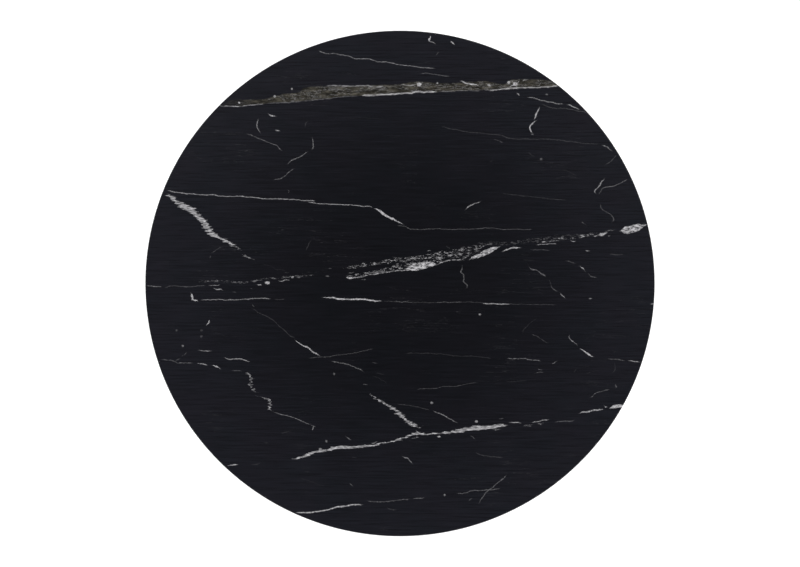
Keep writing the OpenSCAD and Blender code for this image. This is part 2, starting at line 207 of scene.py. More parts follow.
def arc(radius, height, bend, start, end, steps=8):
    """Points of an arc in an outline, about (radius, height), with its angles in degrees"""
    points = []
    for i in range(steps + 1):
        a = math.radians(start + (end - start) * i / steps)
        points.append((radius + bend * math.cos(a), height + bend * math.sin(a)))
    return points


def turned(name, outline, sides=96, at=(0, 0), closed=True):
    """Turns an outline of (radius, height) points: a closed one is a ring, an open one is solid"""
    deselect()
    radius, height = outline[0]
    bpy.ops.mesh.primitive_circle_add(vertices=sides, radius=radius,
                                      location=(at[0], at[1], height))
    piece = bpy.context.object
    piece.name = piece.data.name = name
    bpy.ops.object.mode_set(mode="EDIT")
    bpy.ops.mesh.select_mode(type="VERT")
    bpy.ops.mesh.select_all(action="SELECT")
    for next_radius, next_height in outline[1:] + outline[:1] * closed:
        bpy.ops.mesh.extrude_region_move(
            TRANSFORM_OT_translate={"value": (0, 0, next_height - height)})
        scale = next_radius / radius
        bpy.ops.transform.resize(value=(scale, scale, 1),
                                 center_override=(at[0], at[1], next_height))
        radius, height = next_radius, next_height
    bpy.ops.mesh.select_all(action="SELECT")
    bpy.ops.mesh.remove_doubles(threshold=1e-6)
    bpy.ops.mesh.fill_holes(sides=0)
    bpy.ops.mesh.normals_make_consistent(inside=False)
    bpy.ops.object.mode_set(mode="OBJECT")
    return settle(piece)


def block(name, low, high):
    """A cuboid between two corners"""
    deselect()
    low, high = Vector(low), Vector(high)
    bpy.ops.mesh.primitive_cube_add(size=1, location=(low + high) / 2)
    piece = bpy.context.object
    piece.name = piece.data.name = name
    piece.scale = high - low
    return settle(piece)


def rod_along(name, radius, start, end, sides=32):
    """A cylinder between two points"""
    deselect()
    start, end = Vector(start), Vector(end)
    bpy.ops.mesh.primitive_cylinder_add(
        vertices=sides, radius=radius, depth=(end - start).length, location=(start + end) / 2,
        rotation=(end - start).to_track_quat("Z", "Y").to_euler())
    piece = bpy.context.object
    piece.name = piece.data.name = name
    return settle(piece)


def pick_faces(piece, test):
    """Selects, in edit mode, the faces whose middle and normal pass a test"""
    bpy.ops.mesh.select_mode(type="FACE")
    bpy.ops.mesh.select_all(action="DESELECT")
    mesh = bmesh.from_edit_mesh(piece.data)
    for face in mesh.faces:
        face.select_set(bool(test(face.calc_center_median(), face.normal)))
    bmesh.update_edit_mesh(piece.data)


def pick_edges(piece, test):
    """Selects, in edit mode, the edges whose ends pass a test"""
    bpy.ops.mesh.select_mode(type="EDGE")
    bpy.ops.mesh.select_all(action="DESELECT")
    mesh = bmesh.from_edit_mesh(piece.data)
    for edge in mesh.edges:
        edge.select_set(bool(test(edge.verts[0].co, edge.verts[1].co)))
    bmesh.update_edit_mesh(piece.data)


def apply_modifier(piece, kind, **values):
    """Adds a modifier, sets it and applies it"""
    modifier = piece.modifiers.new(kind.lower(), kind)
    for key, value in values.items():
        setattr(modifier, key, value)
    select_only(piece)
    bpy.ops.object.modifier_apply(modifier=modifier.name)


def ease(piece, width, segments=2, angle=30):
    """Rounds a piece's sharp edges"""
    apply_modifier(piece, "BEVEL", width=width, segments=segments, limit_method="ANGLE",
                   angle_limit=math.radians(angle), use_clamp_overlap=True)


def carve(piece, cutter, operation="DIFFERENCE"):
    """Cuts a piece with another object, which is used up"""
    apply_modifier(piece, "BOOLEAN", object=cutter, operation=operation, solver="EXACT")
    bpy.data.objects.remove(cutter)


def join(pieces, name):
    """Makes one object of several"""
    select_only(*pieces)
    if len(pieces) > 1:
        bpy.ops.object.join()
    pieces[0].name = pieces[0].data.name = name
    return pieces[0]


def copy_of(piece, move=(0, 0, 0), turn=0):
    """A copy with its own mesh, moved, then turned about the column's axis"""
    select_only(piece)
    bpy.ops.object.duplicate()
    copy = bpy.context.object
    bpy.ops.transform.translate(value=move)
    if turn:
        bpy.ops.transform.rotate(value=-turn, orient_axis="Z", center_override=(0, 0, 0))
    return settle(copy)


def ring_of(piece, count, name):
    """Copies a piece evenly about the column's axis and joins the copies to it"""
    turns = [2 * math.pi * i / count for i in range(1, count)]
    return join([piece] + [copy_of(piece, turn=turn) for turn in turns], name)


def finish(piece, nodes, material, body="table", angle=35):
    """Smooths a piece, gives it its material and puts it in the place of its CAD nodes"""
    settle(piece)
    bpy.ops.object.shade_smooth_by_angle(angle=math.radians(angle))
    piece.data.materials.clear()
    piece.data.materials.append(material)
    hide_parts(*nodes)
    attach(piece, body)
    return piece


def thread(radius, low, high, pitch, depth):
    """The outline of a screw thread between two heights, narrower at its ends"""
    points = [(radius - 1.4 * depth, low)]
    count = round((high - low) / pitch)
    for i in range(count):
        foot = low + (high - low) * i / count
        step = (high - low) / count
        points += [(radius - depth, foot + 0.15 * step), (radius, foot + 0.42 * step),
                   (radius, foot + 0.58 * step), (radius - depth, foot + 0.85 * step)]
    return points + [(radius - 1.4 * depth, high)]


def hexagon(name, flats, low, high, at=(0, 0), bore=0.0):
    """A hexagon with its corners turned off at both ends, as a nut has"""
    corner = flats / math.cos(math.pi / 6)
    nut = rod_along(name, corner, (at[0], at[1], low), (at[0], at[1], high), sides=6)
    drop = (corner - flats) * 0.58
    lens = turned("lens", [(flats * 0.97, low - 1e-5), (corner * 1.02, low + drop * 1.2),
                           (corner * 1.02, high - drop * 1.2), (flats * 0.97, high + 1e-5)],
                  sides=64, at=at, closed=False)
    carve(nut, lens, "INTERSECT")
    if bore:
        carve(nut, rod_along("bore", bore, (at[0], at[1], low - 0.01),
                             (at[0], at[1], high + 0.01), 48))
    return nut


# ---------------------------------------------------------------- shader helpers

def add(tree, kind, sockets=None, **values):
    """Adds a shader node, sets its values and joins or fills its sockets"""
    node = tree.nodes.new("ShaderNode" + kind)
    for key, value in values.items():
        setattr(node, key, value)
    for key, value in (sockets or {}).items():
        if isinstance(value, bpy.types.NodeSocket):
            tree.links.new(value, node.inputs[key])
        else:
            node.inputs[key].default_value = value
    return node


def maths(tree, operation, a, b=0.0, c=0.0, clamp=False):
    """The result of a Math node"""
    return add(tree, "Math", {0: a, 1: b, 2: c}, operation=operation, use_clamp=clamp).outputs[0]


def remap(tree, value, low, high, to_low=0.0, to_high=1.0, kind="LINEAR"):
    """A value carried from one range to another"""
    return add(tree, "MapRange", {"Value": value, "From Min": low, "From Max": high,
                                  "To Min": to_low, "To Max": to_high},
               interpolation_type=kind).outputs["Result"]


def blend(tree, factor, a, b, kind="MIX"):
    """One colour mixed into another"""
    opaque = [value if isinstance(value, bpy.types.NodeSocket) else (*value, 1)
              for value in (a, b)]
    return add(tree, "Mix", {0: factor, 6: opaque[0], 7: opaque[1]}, data_type="RGBA",
               blend_type=kind).outputs[2]


def noise(tree, vector, scale, detail=2.0, roughness=0.5, output="Fac"):
    """A noise over a vector"""
    return add(tree, "TexNoise", {"Vector": vector, "Scale": scale, "Detail": detail,
                                  "Roughness": roughness}).outputs[output]


def stretched(tree, vector, scale, turn=(0, 0, 0)):
    """A vector scaled along its axes, for a pattern that runs one way"""
    return add(tree, "Mapping", {"Vector": vector, "Scale": scale, "Rotation": turn}).outputs[0]


def shader_group(name, inputs, outputs):
    """A new node group, its input sockets and its output node"""
    tree = bpy.data.node_groups.new(name, "ShaderNodeTree")
    for label, value in inputs.items():
        kind = "NodeSocketVector" if value is None else "NodeSocketFloat"
        socket = tree.interface.new_socket(name=label, in_out="INPUT", socket_type=kind)
        if value is not None:
            socket.default_value = value
    for label in outputs:
        tree.interface.new_socket(name=label, in_out="OUTPUT", socket_type="NodeSocketFloat")
    return tree, tree.nodes.new("NodeGroupInput").outputs, tree.nodes.new("NodeGroupOutput")


def use_group(tree, name, sockets):
    """The first output of a group placed in a material with its own values"""
    return add(tree, "Group", sockets, node_tree=bpy.data.node_groups[name]).outputs[0]


def new_material(name):
    """An empty material, its tree, its object coordinates and its main shader"""
    material = bpy.data.materials.new(name)
    material.use_nodes = True
    tree = material.node_tree
    tree.nodes.clear()
    place = add(tree, "TexCoord").outputs["Object"]
    shader = add(tree, "BsdfPrincipled")
    output = add(tree, "OutputMaterial")
    tree.links.new(shader.outputs[0], output.inputs["Surface"])
    return material, tree, place, shader


def feed(tree, shader, **sockets):
    """Joins or fills the main shader's sockets; an underscore in a name is a space"""
    for key, value in sockets.items():
        socket = shader.inputs[key.replace("_", " ")]
        if isinstance(value, bpy.types.NodeSocket):
            tree.links.new(value, socket)
        else:
            socket.default_value = value


def bump(tree, height, depth, strength=1.0):
    """A normal raised by a height of this many metres"""
    return add(tree, "Bump", {"Height": height, "Distance": depth,
                              "Strength": strength}).outputs[0]


# ---------------------------------------------------------------- shared effects

def build_groups():
    """Makes the effects that more than one material or vein uses"""
    tree, inputs, output = shader_group(
        "vein_line", {"Across": 0.0, "Course": None, "Grain": 1.0, "Other Veins": 0.0}, ["Veins"])
    centre, half, strength = add(tree, "SeparateXYZ", {0: inputs["Course"]}).outputs
    offset = maths(tree, "ABSOLUTE", maths(tree, "SUBTRACT", inputs["Across"], centre))
    inside = maths(tree, "SUBTRACT", half, offset)
    mask = maths(tree, "MINIMUM", maths(tree, "MULTIPLY", inside, 1.25), 1)
    mask = maths(tree, "MULTIPLY", mask, strength)
    mask = maths(tree, "MULTIPLY", mask, inputs["Grain"])
    tree.links.new(maths(tree, "MAXIMUM", mask, inputs["Other Veins"]), output.inputs[0])

    tree, inputs, output = shader_group(
        "vein_spot", {"Along": 0.0, "Across": 0.0, "Middle Along": 0.0, "Middle Across": 0.0,
                      "Half Length": 5.0, "Half Width": 3.0, "Strength": 1.0, "Grain": 1.0,
                      "Other Veins": 0.0}, ["Veins"])
    along = maths(tree, "DIVIDE", maths(tree, "SUBTRACT", inputs["Along"], inputs["Middle Along"]),
                  inputs["Half Length"])
    across = maths(tree, "DIVIDE",
                   maths(tree, "SUBTRACT", inputs["Across"], inputs["Middle Across"]),
                   inputs["Half Width"])
    reach = maths(tree, "MULTIPLY_ADD", along, along, maths(tree, "MULTIPLY", across, across))
    mask = maths(tree, "MINIMUM", maths(tree, "MULTIPLY_ADD", reach, -1.4, 1.5), 1)
    mask = maths(tree, "MULTIPLY", mask, inputs["Strength"])
    mask = maths(tree, "MULTIPLY", mask, inputs["Grain"])
    tree.links.new(maths(tree, "MAXIMUM", mask, inputs["Other Veins"]), output.inputs[0])

    tree, inputs, output = shader_group(
        "edge_wear", {"Vector": None, "Reach": 0.5, "Amount": 0.5}, ["Wear"])
    point = add(tree, "NewGeometry").outputs["Pointiness"]
    sharp = remap(tree, point, 0.53, 0.6)
    rub = noise(tree, inputs["Vector"], 55, 5, 0.65)
    rub = remap(tree, rub, 0.62, 0.42, 0, 1)
    wear = maths(tree, "MULTIPLY", maths(tree, "POWER", sharp, inputs["Reach"]), rub)
    tree.links.new(maths(tree, "MULTIPLY", wear, inputs["Amount"], clamp=True), output.inputs[0])

    tree, inputs, output = shader_group(
        "settled_dust", {"Vector": None, "Amount": 0.5}, ["Dust"])
    facing = add(tree, "SeparateXYZ", {0: add(tree, "NewGeometry").outputs["Normal"]}).outputs[2]
    level = remap(tree, facing, 0.35, 1.0)
    cloud = noise(tree, inputs["Vector"], 14, 4, 0.6)
    speck = noise(tree, inputs["Vector"], 900, 2, 0.7)
    dust = maths(tree, "MULTIPLY", remap(tree, cloud, 0.35, 0.75), remap(tree, speck, 0.45, 0.7))
    dust = maths(tree, "MULTIPLY", dust, level)
    tree.links.new(maths(tree, "MULTIPLY", dust, inputs["Amount"], clamp=True), output.inputs[0])

    tree, inputs, output = shader_group("paint_peel", {"Vector": None, "Size": 700.0}, ["Height"])
    peel = noise(tree, inputs["Vector"], inputs["Size"], 1.5, 0.5)
    tree.links.new(peel, output.inputs[0])

    tree, inputs, output = shader_group(
        "turning_marks", {"Vector": None, "Centre X": 0.0, "Centre Y": 0.0}, ["Height"])
    parts = add(tree, "SeparateXYZ", {0: inputs["Vector"]}).outputs
    east = maths(tree, "SUBTRACT", parts[0], inputs["Centre X"])
    north = maths(tree, "SUBTRACT", parts[1], inputs["Centre Y"])
    reach = maths(tree, "SQRT", maths(tree, "MULTIPLY_ADD", east, east,
                                      maths(tree, "MULTIPLY", north, north)))
    line = add(tree, "CombineXYZ", {0: reach, 1: parts[2]}).outputs[0]
    tree.links.new(noise(tree, line, 1800, 3, 0.6), output.inputs[0])


# ---------------------------------------------------------------- the stone's veins

# Each vein is (strength, half width, course): the course is (east, north) in millimetres from the
# middle of the top, with an optional third number where the half width changes along it.
NORTH_VEINS = [
    (0.7, 1.0, [(-181, 506), (-164, 500), (-137, 498), (-116, 494), (-98, 488), (-64, 486),
                (-50, 481), (-30, 480), (-16, 477), (11, 472), (40, 469), (62, 467), (80, 465)]),
    (0.55, 0.8, [(40, 455), (59, 455), (84, 452), (101, 449), (112, 446)]),
    (1, 2, [(64, 540), (67, 537), (63, 528), (74, 523), (78, 519)]),
    (1, 2, [(111, 528), (114, 522), (119, 518)]),
    (0.4, 1, [(88, 506), (81, 497), (76, 491)]),
    (0.15, 0.8, [(-130, 357), (-30, 353)]),
    (0.2, 0.8, [(-120, 453), (-100, 453)]),
    (1, 2, [(127, 439), (145, 433), (176, 424)]),
    (0.8, 1.5, [(262, 435), (285, 441)]),
    (0.9, 1.3, [(230, 422), (242, 427), (251, 431), (264, 439)]),
    (0.8, 1.1, [(248, 444), (250, 436), (252, 428), (257, 416)]),
    (0.7, 1.0, [(262, 424), (251, 431), (238, 440)]),
]
EAST_UPPER_VEINS = [
    (0.35, 0.8, [(88, 338), (105, 334), (118, 331), (164, 324), (200, 321), (220, 318),
                 (230, 313), (270, 310), (307, 310), (344, 308), (381, 303), (406, 300),
                 (434, 296)]),
    (0.75, 1.0, [(434, 296), (449, 293), (456, 287), (463, 282)]),
    (0.4, 0.8, [(200, 313), (215, 306), (230, 302)]),
    (0.9, 1.5, [(255, 412), (260, 406)]),
    (0.7, 1.2, [(273, 405), (294, 400), (307, 395), (329, 391), (342, 388), (359, 386)]),
    (0.9, 1.2, [(359, 386), (379, 380), (386, 377), (394, 372)]),
    (0.35, 0.9, [(306, 387), (324, 380), (359, 377), (381, 373), (411, 363)]),
    (1, 2.6, [(305, 386, 1), (302, 378, 2.2), (297, 366, 3.2), (294, 358, 3), (289, 350, 2)]),
    (1, 1.6, [(300, 355), (292, 349), (286, 343), (282, 336), (284, 328), (291, 319)]),
    (0.9, 1.2, [(283, 321), (291, 318)]),
    (0.4, 0.9, [(472, 275), (460, 264), (440, 246)]),
    (0.3, 0.9, [(275, 283), (294, 271)]),
    (0.2, 0.9, [(349, 244), (374, 234), (386, 224)]),
    (0.15, 0.8, [(190, 252), (192, 258), (209, 263)]),
    (0.8, 1.5, [(445, 228), (437, 216), (431, 206), (422, 194), (427, 187)]),
    (0.55, 1.0, [(496, 223), (486, 218), (471, 210), (461, 206), (441, 202), (427, 189)]),
    (0.45, 0.9, [(434, 172), (435, 160), (446, 150), (456, 145), (462, 134), (451, 124)]),
    (0.5, 0.9, [(398, 134), (395, 128), (405, 120)]),
    (0.3, 0.8, [(220, 191), (245, 188), (270, 185), (299, 182), (339, 177), (364, 174)]),
    (0.4, 1.0, [(-9, 120), (11, 118), (20, 113), (42, 112), (81, 113), (103, 112), (134, 112),
                (173, 114), (200, 115), (225, 112), (257, 112), (289, 112)]),
]
WEST_UPPER_VEINS = [
    (0.9, 1.5, [(-290, 368), (-281, 362), (-264, 357)]),
    (0.9, 1.5, [(-273, 329), (-259, 327)]),
    (0.7, 1.2, [(-304, 357), (-310, 347), (-311, 338), (-307, 329), (-301, 319)]),
    (0.5, 1.0, [(-337, 323), (-324, 319), (-296, 307), (-281, 301), (-267, 294), (-262, 288),
                (-252, 282)]),
    (0.3, 0.9, [(-339, 280), (-328, 286)]),
    (0.4, 0.9, [(-200, 354), (-205, 343), (-206, 332)]),
    (0.6, 1.2, [(-192, 318), (-189, 301), (-189, 291), (-195, 283)]),
    (0.6, 1.2, [(-195, 283), (-211, 275), (-223, 268), (-236, 263), (-248, 253)]),
    (0.5, 1.0, [(-225, 245), (-238, 239), (-257, 224), (-279, 216)]),
    (0.4, 0.9, [(-245, 201), (-240, 195), (-244, 190)]),
    (0.8, 1.2, [(-508, 198), (-497, 195), (-463, 191), (-431, 188), (-405, 188), (-393, 185),
                (-361, 184), (-352, 185), (-322, 182), (-293, 179), (-259, 178), (-221, 176),
                (-180, 173)]),
    (0.8, 1.2, [(-204, 174), (-133, 166), (-95, 164), (-55, 158)]),
    (1, 2, [(-62, 158, 2), (-50, 156, 4), (-42, 150, 3.4), (-32, 143, 2.6), (-14, 134, 2.4),
            (1, 126, 1.6), (12, 119, 0.9)]),
    (0.8, 1.1, [(138, 150), (146, 160), (160, 168), (178, 177)]),
    (0.35, 0.8, [(-380, 74), (-403, 63), (-411, 57)]),
    (0.35, 0.8, [(-411, 57), (-409, 52), (-412, 46)]),
    (0.15, 0.9, [(-303, 35), (-279, 32), (-269, 26), (-243, 17)]),
]
WEST_MIDDLE_VEINS = [
    (0.6, 1.2, [(-553, -10), (-531, -12), (-512, -14)]),
    (0.42, 1.0, [(-512, -14), (-487, -12), (-458, -13), (-434, -11), (-417, -10)]),
    (0.8, 1.0, [(-417, -10), (-403, -10), (-386, -9)]),
    (0.8, 1.5, [(-405, -14), (-395, -19), (-389, -18), (-378, -23)]),
    (1, 3.6, [(-453, -20, 2), (-451, -28), (-448, -36), (-446, -45, 3)]),
    (1, 2.4, [(-452, -41), (-434, -43)]),
    (0.65, 1.3, [(-434, -41), (-415, -41), (-386, -40), (-376, -42), (-359, -41), (-344, -41),
                 (-327, -40), (-318, -38), (-298, -38), (-275, -40)]),
    (0.3, 1.0, [(-275, -40), (-245, -40)]),
    (0.5, 1.0, [(-361, -24), (-354, -26)]),
    (0.5, 1.0, [(-347, -6), (-341, -6)]),
    (0.5, 1.0, [(-324, -17), (-318, -17)]),
    (1, 1.5, [(-310, -9), (-297, -10)]),
    (0.8, 1.2, [(-266, 1), (-255, -1), (-245, 2), (-234, 1)]),
    (0.7, 1.2, [(-224, 7), (-214, 7)]),
    (0.3, 0.9, [(-252, 18), (-238, 18)]),
    (0.25, 0.9, [(-188, 93), (-199, 76), (-207, 61)]),
    (1, 1.8, [(-409, -81), (-412, -92), (-418, -99)]),
    (0.4, 1.0, [(-318, -51), (-314, -58)]),
]
MIDDLE_VEINS = [
    (0.3, 1.2, [(-156, 27), (-146, 27)]),
    (1, 2.4, [(-118, 8), (-108, 6), (-96, 6)]),
    (0.5, 1.2, [(-115, 16), (-96, 19)]),
    (0.5, 1.2, [(-86, 3), (-71, 3)]),
    (0.5, 1.1, [(-113, 31), (-103, 31)]),
    (0.9, 1.5, [(-84, 38), (-74, 38)]),
    (0.55, 1.5, [(-71, 18), (-55, 18), (-25, 21)]),
    (0.8, 2, [(16, 52), (22, 49), (33, 49), (44, 47)]),
    (0.45, 1.2, [(-18, 55), (-1, 46)]),
    (0.6, 1.2, [(57, 63), (69, 65)]),
    (0.9, 2, [(76, 55), (86, 49), (99, 49)]),
    (0.3, 1.0, [(100, 77), (108, 68)]),
    (0.4, 1.2, [(58, 32), (70, 34), (84, 35)]),
    (0.9, 2, [(217, 62), (229, 67), (240, 71), (252, 72), (266, 72)]),
    (0.7, 1.2, [(292, 78), (318, 80), (343, 81)]),
    (0.85, 1.2, [(366, 88), (374, 85), (383, 88)]),
    (0.9, 1.4, [(389, 92), (396, 96), (406, 98)]),
    (0.9, 1.3, [(419, 96), (429, 102)]),
    (0.8, 1.0, [(448, 97), (456, 97)]),
    (0.4, 1.0, [(442, 108), (450, 108)]),
    (0.45, 1.5, [(133, 38), (134, 28), (131, 20), (136, 15), (138, 5), (137, 0), (142, -7),
                 (145, -12), (139, -21)]),
]
EAST_MIDDLE_VEINS = [
    (0.35, 1.0, [(279, 68), (309, 67), (327, 68)]),
    (0.7, 1.2, [(399, 65), (412, 65)]),
    (0.4, 0.9, [(449, 57), (486, 57)]),
    (0.5, 1.2, [(275, 39), (279, 29), (283, 25), (299, 21), (303, 17), (313, 11), (318, 2)]),
    (0.5, 1.2, [(318, 2), (323, -1), (325, -6), (330, -17), (344, -24)]),
    (0.85, 1.3, [(344, -24), (350, -32), (358, -41)]),
    (0.4, 1.1, [(354, 45), (369, 41), (383, 36)]),
    (0.8, 1.3, [(383, 36), (396, 26), (403, 19)]),
    (0.45, 1.1, [(403, 19), (415, 9), (429, 4)]),
    (0.9, 1.5, [(538, -50), (553, -50)]),
    (0.2, 0.9, [(294, -78), (279, -93), (266, -108), (261, -119)]),
    (0.3, 0.9, [(279, -111), (297, -122), (309, -130), (324, -137)]),
]
LONG_VEINS = [
    (1, 2, [(-173, -36, 0.6), (-156, -36, 1.4), (-141, -37), (-136, -39), (-120, -40),
            (-100, -40), (-81, -40), (-62, -42), (-51, -44), (-35, -45)]),
    (0.4, 1.0, [(-16, -45), (6, -46), (34, -47)]),
    (0.3, 0.9, [(-40, -45), (34, -47), (139, -47), (250, -51), (340, -52)]),
    (0.45, 1.0, [(71, -47), (103, -47), (139, -47)]),
    (0.8, 1.5, [(175, -49), (195, -50), (242, -51)]),
    (0.25, 1.0, [(284, -52), (300, -52)]),
    (0.3, 1.0, [(119, -67), (129, -67)]),
    (0.25, 1.0, [(-323, -60), (-303, -71), (-279, -81), (-260, -98), (-238, -118),
                 (-221, -129)]),
    (0.9, 1.8, [(-230, -124, 1), (-218, -135), (-206, -142), (-200, -144), (-189, -154), (-178, -159),
                (-168, -165)]),
    (0.5, 1.2, [(-151, -171), (-132, -177), (-120, -179), (-108, -183), (-96, -188),
                (-85, -193), (-74, -200)]),
    (0.25, 1.0, [(-54, -201), (-30, -204)]),
    (0.15, 1.0, [(-64, -205), (-45, -212), (-25, -227)]),
    (0.35, 1.0, [(-201, -168), (-182, -166), (-151, -165), (-137, -162), (-118, -160),
                 (-98, -157), (-76, -152), (-54, -147)]),
    (0.35, 1.0, [(-64, -178), (-45, -178)]),
    (0.4, 1.8, [(-80, -225), (-68, -225)]),
    (0.8, 1.4, [(33, -323), (42, -328)]),
    (0.3, 1.0, [(-11, -266), (13, -269), (42, -274), (67, -280)]),
    (0.65, 1.1, [(67, -280), (81, -286), (96, -292), (108, -299), (127, -307)]),
]
WEST_LOWER_VEINS = [
    (0.45, 1.0, [(-518, -170), (-499, -172), (-487, -174), (-480, -177), (-461, -178),
                 (-441, -179)]),
    (0.75, 1.2, [(-441, -179), (-424, -181), (-410, -183)]),
    (0.95, 1.8, [(-410, -183), (-399, -185), (-390, -188), (-382, -193)]),
    (0.45, 1.0, [(-366, -194), (-337, -195)]),
    (0.4, 1.0, [(-456, -150), (-461, -158), (-470, -165)]),
    (0.4, 1.0, [(-470, -165), (-480, -171), (-490, -176)]),
    (0.7, 1.0, [(-439, -151), (-415, -152), (-402, -152)]),
    (0.8, 1.3, [(-381, -166), (-371, -168), (-361, -170), (-349, -169), (-335, -172),
                (-330, -174), (-318, -175)]),
    (0.6, 1.0, [(-276, -284), (-259, -288), (-238, -293), (-225, -297), (-211, -304), (-189, -310)]),
    (0.6, 0.9, [(-194, -309), (-180, -316)]),
    (0.8, 1.3, [(-182, -312), (-188, -325)]),
    (0.6, 1.2, [(-118, -335), (-103, -345)]),
    (0.9, 1.5, [(-373, -399), (-356, -397), (-342, -397)]),
    (0.3, 1.0, [(-322, -397), (-296, -392)]),
    (0.25, 0.9, [(-260, -330), (-233, -326)]),
    (0.25, 0.9, [(-293, -349), (-281, -350)]),
    (0.25, 0.9, [(-208, -412), (-191, -412)]),
]
EAST_LOWER_VEINS = [
    (0.25, 0.9, [(8, -158), (45, -157), (91, -159), (122, -163), (161, -164), (200, -170)]),
    (0.6, 1.0, [(227, -169), (245, -169), (258, -169), (279, -171), (306, -174)]),
    (0.65, 1.4, [(366, -113), (364, -121), (371, -131), (381, -140), (383, -146)]),
    (0.95, 1.8, [(383, -146), (394, -150), (401, -156), (411, -163), (421, -166)]),
    (0.45, 1.1, [(444, -168), (468, -171), (488, -173)]),
    (0.85, 1.2, [(488, -173), (503, -175), (521, -177)]),
    (0.2, 0.9, [(460, -173), (463, -186), (458, -198), (449, -204)]),
    (0.45, 1.0, [(468, -219), (463, -224), (465, -230), (454, -235)]),
    (0.45, 1.0, [(454, -235), (431, -241), (419, -245), (415, -250), (403, -252)]),
    (0.7, 1.2, [(325, -180), (339, -172)]),
    (0.5, 1.0, [(294, -190), (309, -193)]),
    (0.45, 1.0, [(287, -202), (312, -198)]),
    (0.25, 1.0, [(374, -200), (380, -189)]),
    (0.35, 0.9, [(33, -236), (52, -234), (81, -232), (90, -229), (115, -229), (137, -225),
                 (171, -221)]),
    (0.2, 0.9, [(225, -219), (277, -215)]),
    (0.5, 1.0, [(210, -299), (224, -297)]),
]
SOUTH_VEINS = [
    (0.8, 1.3, [(277, -306), (291, -305), (312, -301), (324, -300)]),
    (0.5, 1.1, [(329, -308), (342, -304), (362, -304), (379, -299)]),
    (0.85, 1.8, [(381, -289), (389, -284), (404, -283), (419, -280), (441, -279)]),
    (1, 4, [(441, -277, 2), (449, -276, 2.5), (458, -273, 4), (474, -271, 4.5), (492, -271, 4.5)]),
    (0.8, 2, [(438, -273), (445, -273)]),
    (0.5, 1.0, [(149, -335), (164, -343)]),
    (0.3, 1.0, [(159, -369), (166, -373), (225, -382)]),
    (0.65, 1.2, [(1, -375), (18, -385), (23, -391), (31, -398)]),
    (0.25, 0.9, [(-104, -382), (-92, -382)]),
    (0.15, 0.9, [(-218, -419), (-189, -434), (-158, -442)]),
    (0.5, 1.0, [(-109, -437), (-99, -443)]),
    (0.95, 1.8, [(-227, -500), (-200, -500), (-185, -498), (-168, -496), (-153, -493),
                 (-137, -488), (-112, -485), (-93, -483), (-74, -482, 0.8)]),
    (0.45, 1.0, [(-74, -471), (-59, -476), (-40, -477), (-17, -475), (6, -471), (25, -470)]),
    (0.6, 1.0, [(25, -470), (56, -467)]),
    (0.5, 1.0, [(117, -459), (140, -458), (155, -453), (174, -452), (186, -451), (201, -450),
                (217, -446)]),
    (0.5, 1.0, [(165, -481), (174, -469), (188, -453), (205, -440), (217, -430), (232, -415)]),
    (0.6, 1.0, [(146, -475), (155, -469)]),
    (0.3, 1.0, [(-32, -486), (-5, -494)]),
]
# Veins whose edges step sideways in small teeth
RAGGED_VEINS = [
    (1, 7, [(-514, 194, 3), (-510, 191, 3), (-490, 179, 5), (-475, 167, 6), (-450, 152, 7),
            (-432, 135, 6), (-418, 118, 8), (-405, 103, 6), (-390, 94, 3), (-381, 88, 3),
            (-369, 82, 3), (-352, 71, 1.5), (-341, 61, 1)]),
    (0.95, 1.8, [(-341, 61, 1), (-337, 57), (-323, 49), (-313, 42, 0.6)]),
    (0.6, 2.5, [(-392, 93), (-380, 91), (-366, 93, 1.2)]),
    (1, 2.4, [(-69, -244, 0.8), (-51, -255, 2), (-30, -266, 2.2), (-16, -275, 2.6), (-8, -281, 3.4),
              (-1, -288, 3.6), (8, -297, 3.6), (18, -306, 3.2), (30, -312, 3.2), (40, -318, 3),
              (48, -321, 1.5)]),
    (0.95, 1.4, [(-322, -194), (-328, -199), (-322, -205), (-318, -210), (-320, -217),
                 (-321, -224), (-319, -230), (-313, -238), (-309, -246)]),
    (0.95, 1.4, [(-309, -246), (-291, -254), (-281, -260), (-280, -268), (-284, -275),
                 (-279, -280), (-272, -285)]),
    (1, 3, [(-235, -386, 1.5), (-218, -383, 2.5), (-201, -377, 3.5), (-180, -369, 3),
            (-156, -366, 3), (-142, -361, 4), (-120, -360, 4), (-100, -360, 3), (-79, -357, 3),
            (-62, -356, 2.5), (-45, -352, 2),
            (-30, -348, 1.6)]),
    (1, 2.5, [(-46, -352, 1.5), (-20, -348, 2), (-8, -345), (6, -340), (21, -334), (38, -330, 3),
              (57, -332, 1.5), (79, -330, 1.8), (93, -329, 2), (105, -328, 3),
              (118, -326, 3)]),
    (1, 4.5, [(96, -329, 2), (108, -328, 4), (125, -325), (144, -321, 5), (164, -318, 6), (180, -318, 5),
              (202, -316, 5), (220, -313, 4), (240, -313, 4)]),
    (0.9, 1.5, [(-208, -375), (-180, -366)]),
    (0.8, 1.5, [(-69, -352), (-47, -347)]),
    (0.8, 1.5, [(232, -307), (265, -307)]),
    (0.8, 1.5, [(25, -342), (42, -337)]),
    (0.8, 1.5, [(200, -323), (220, -320)]),
]
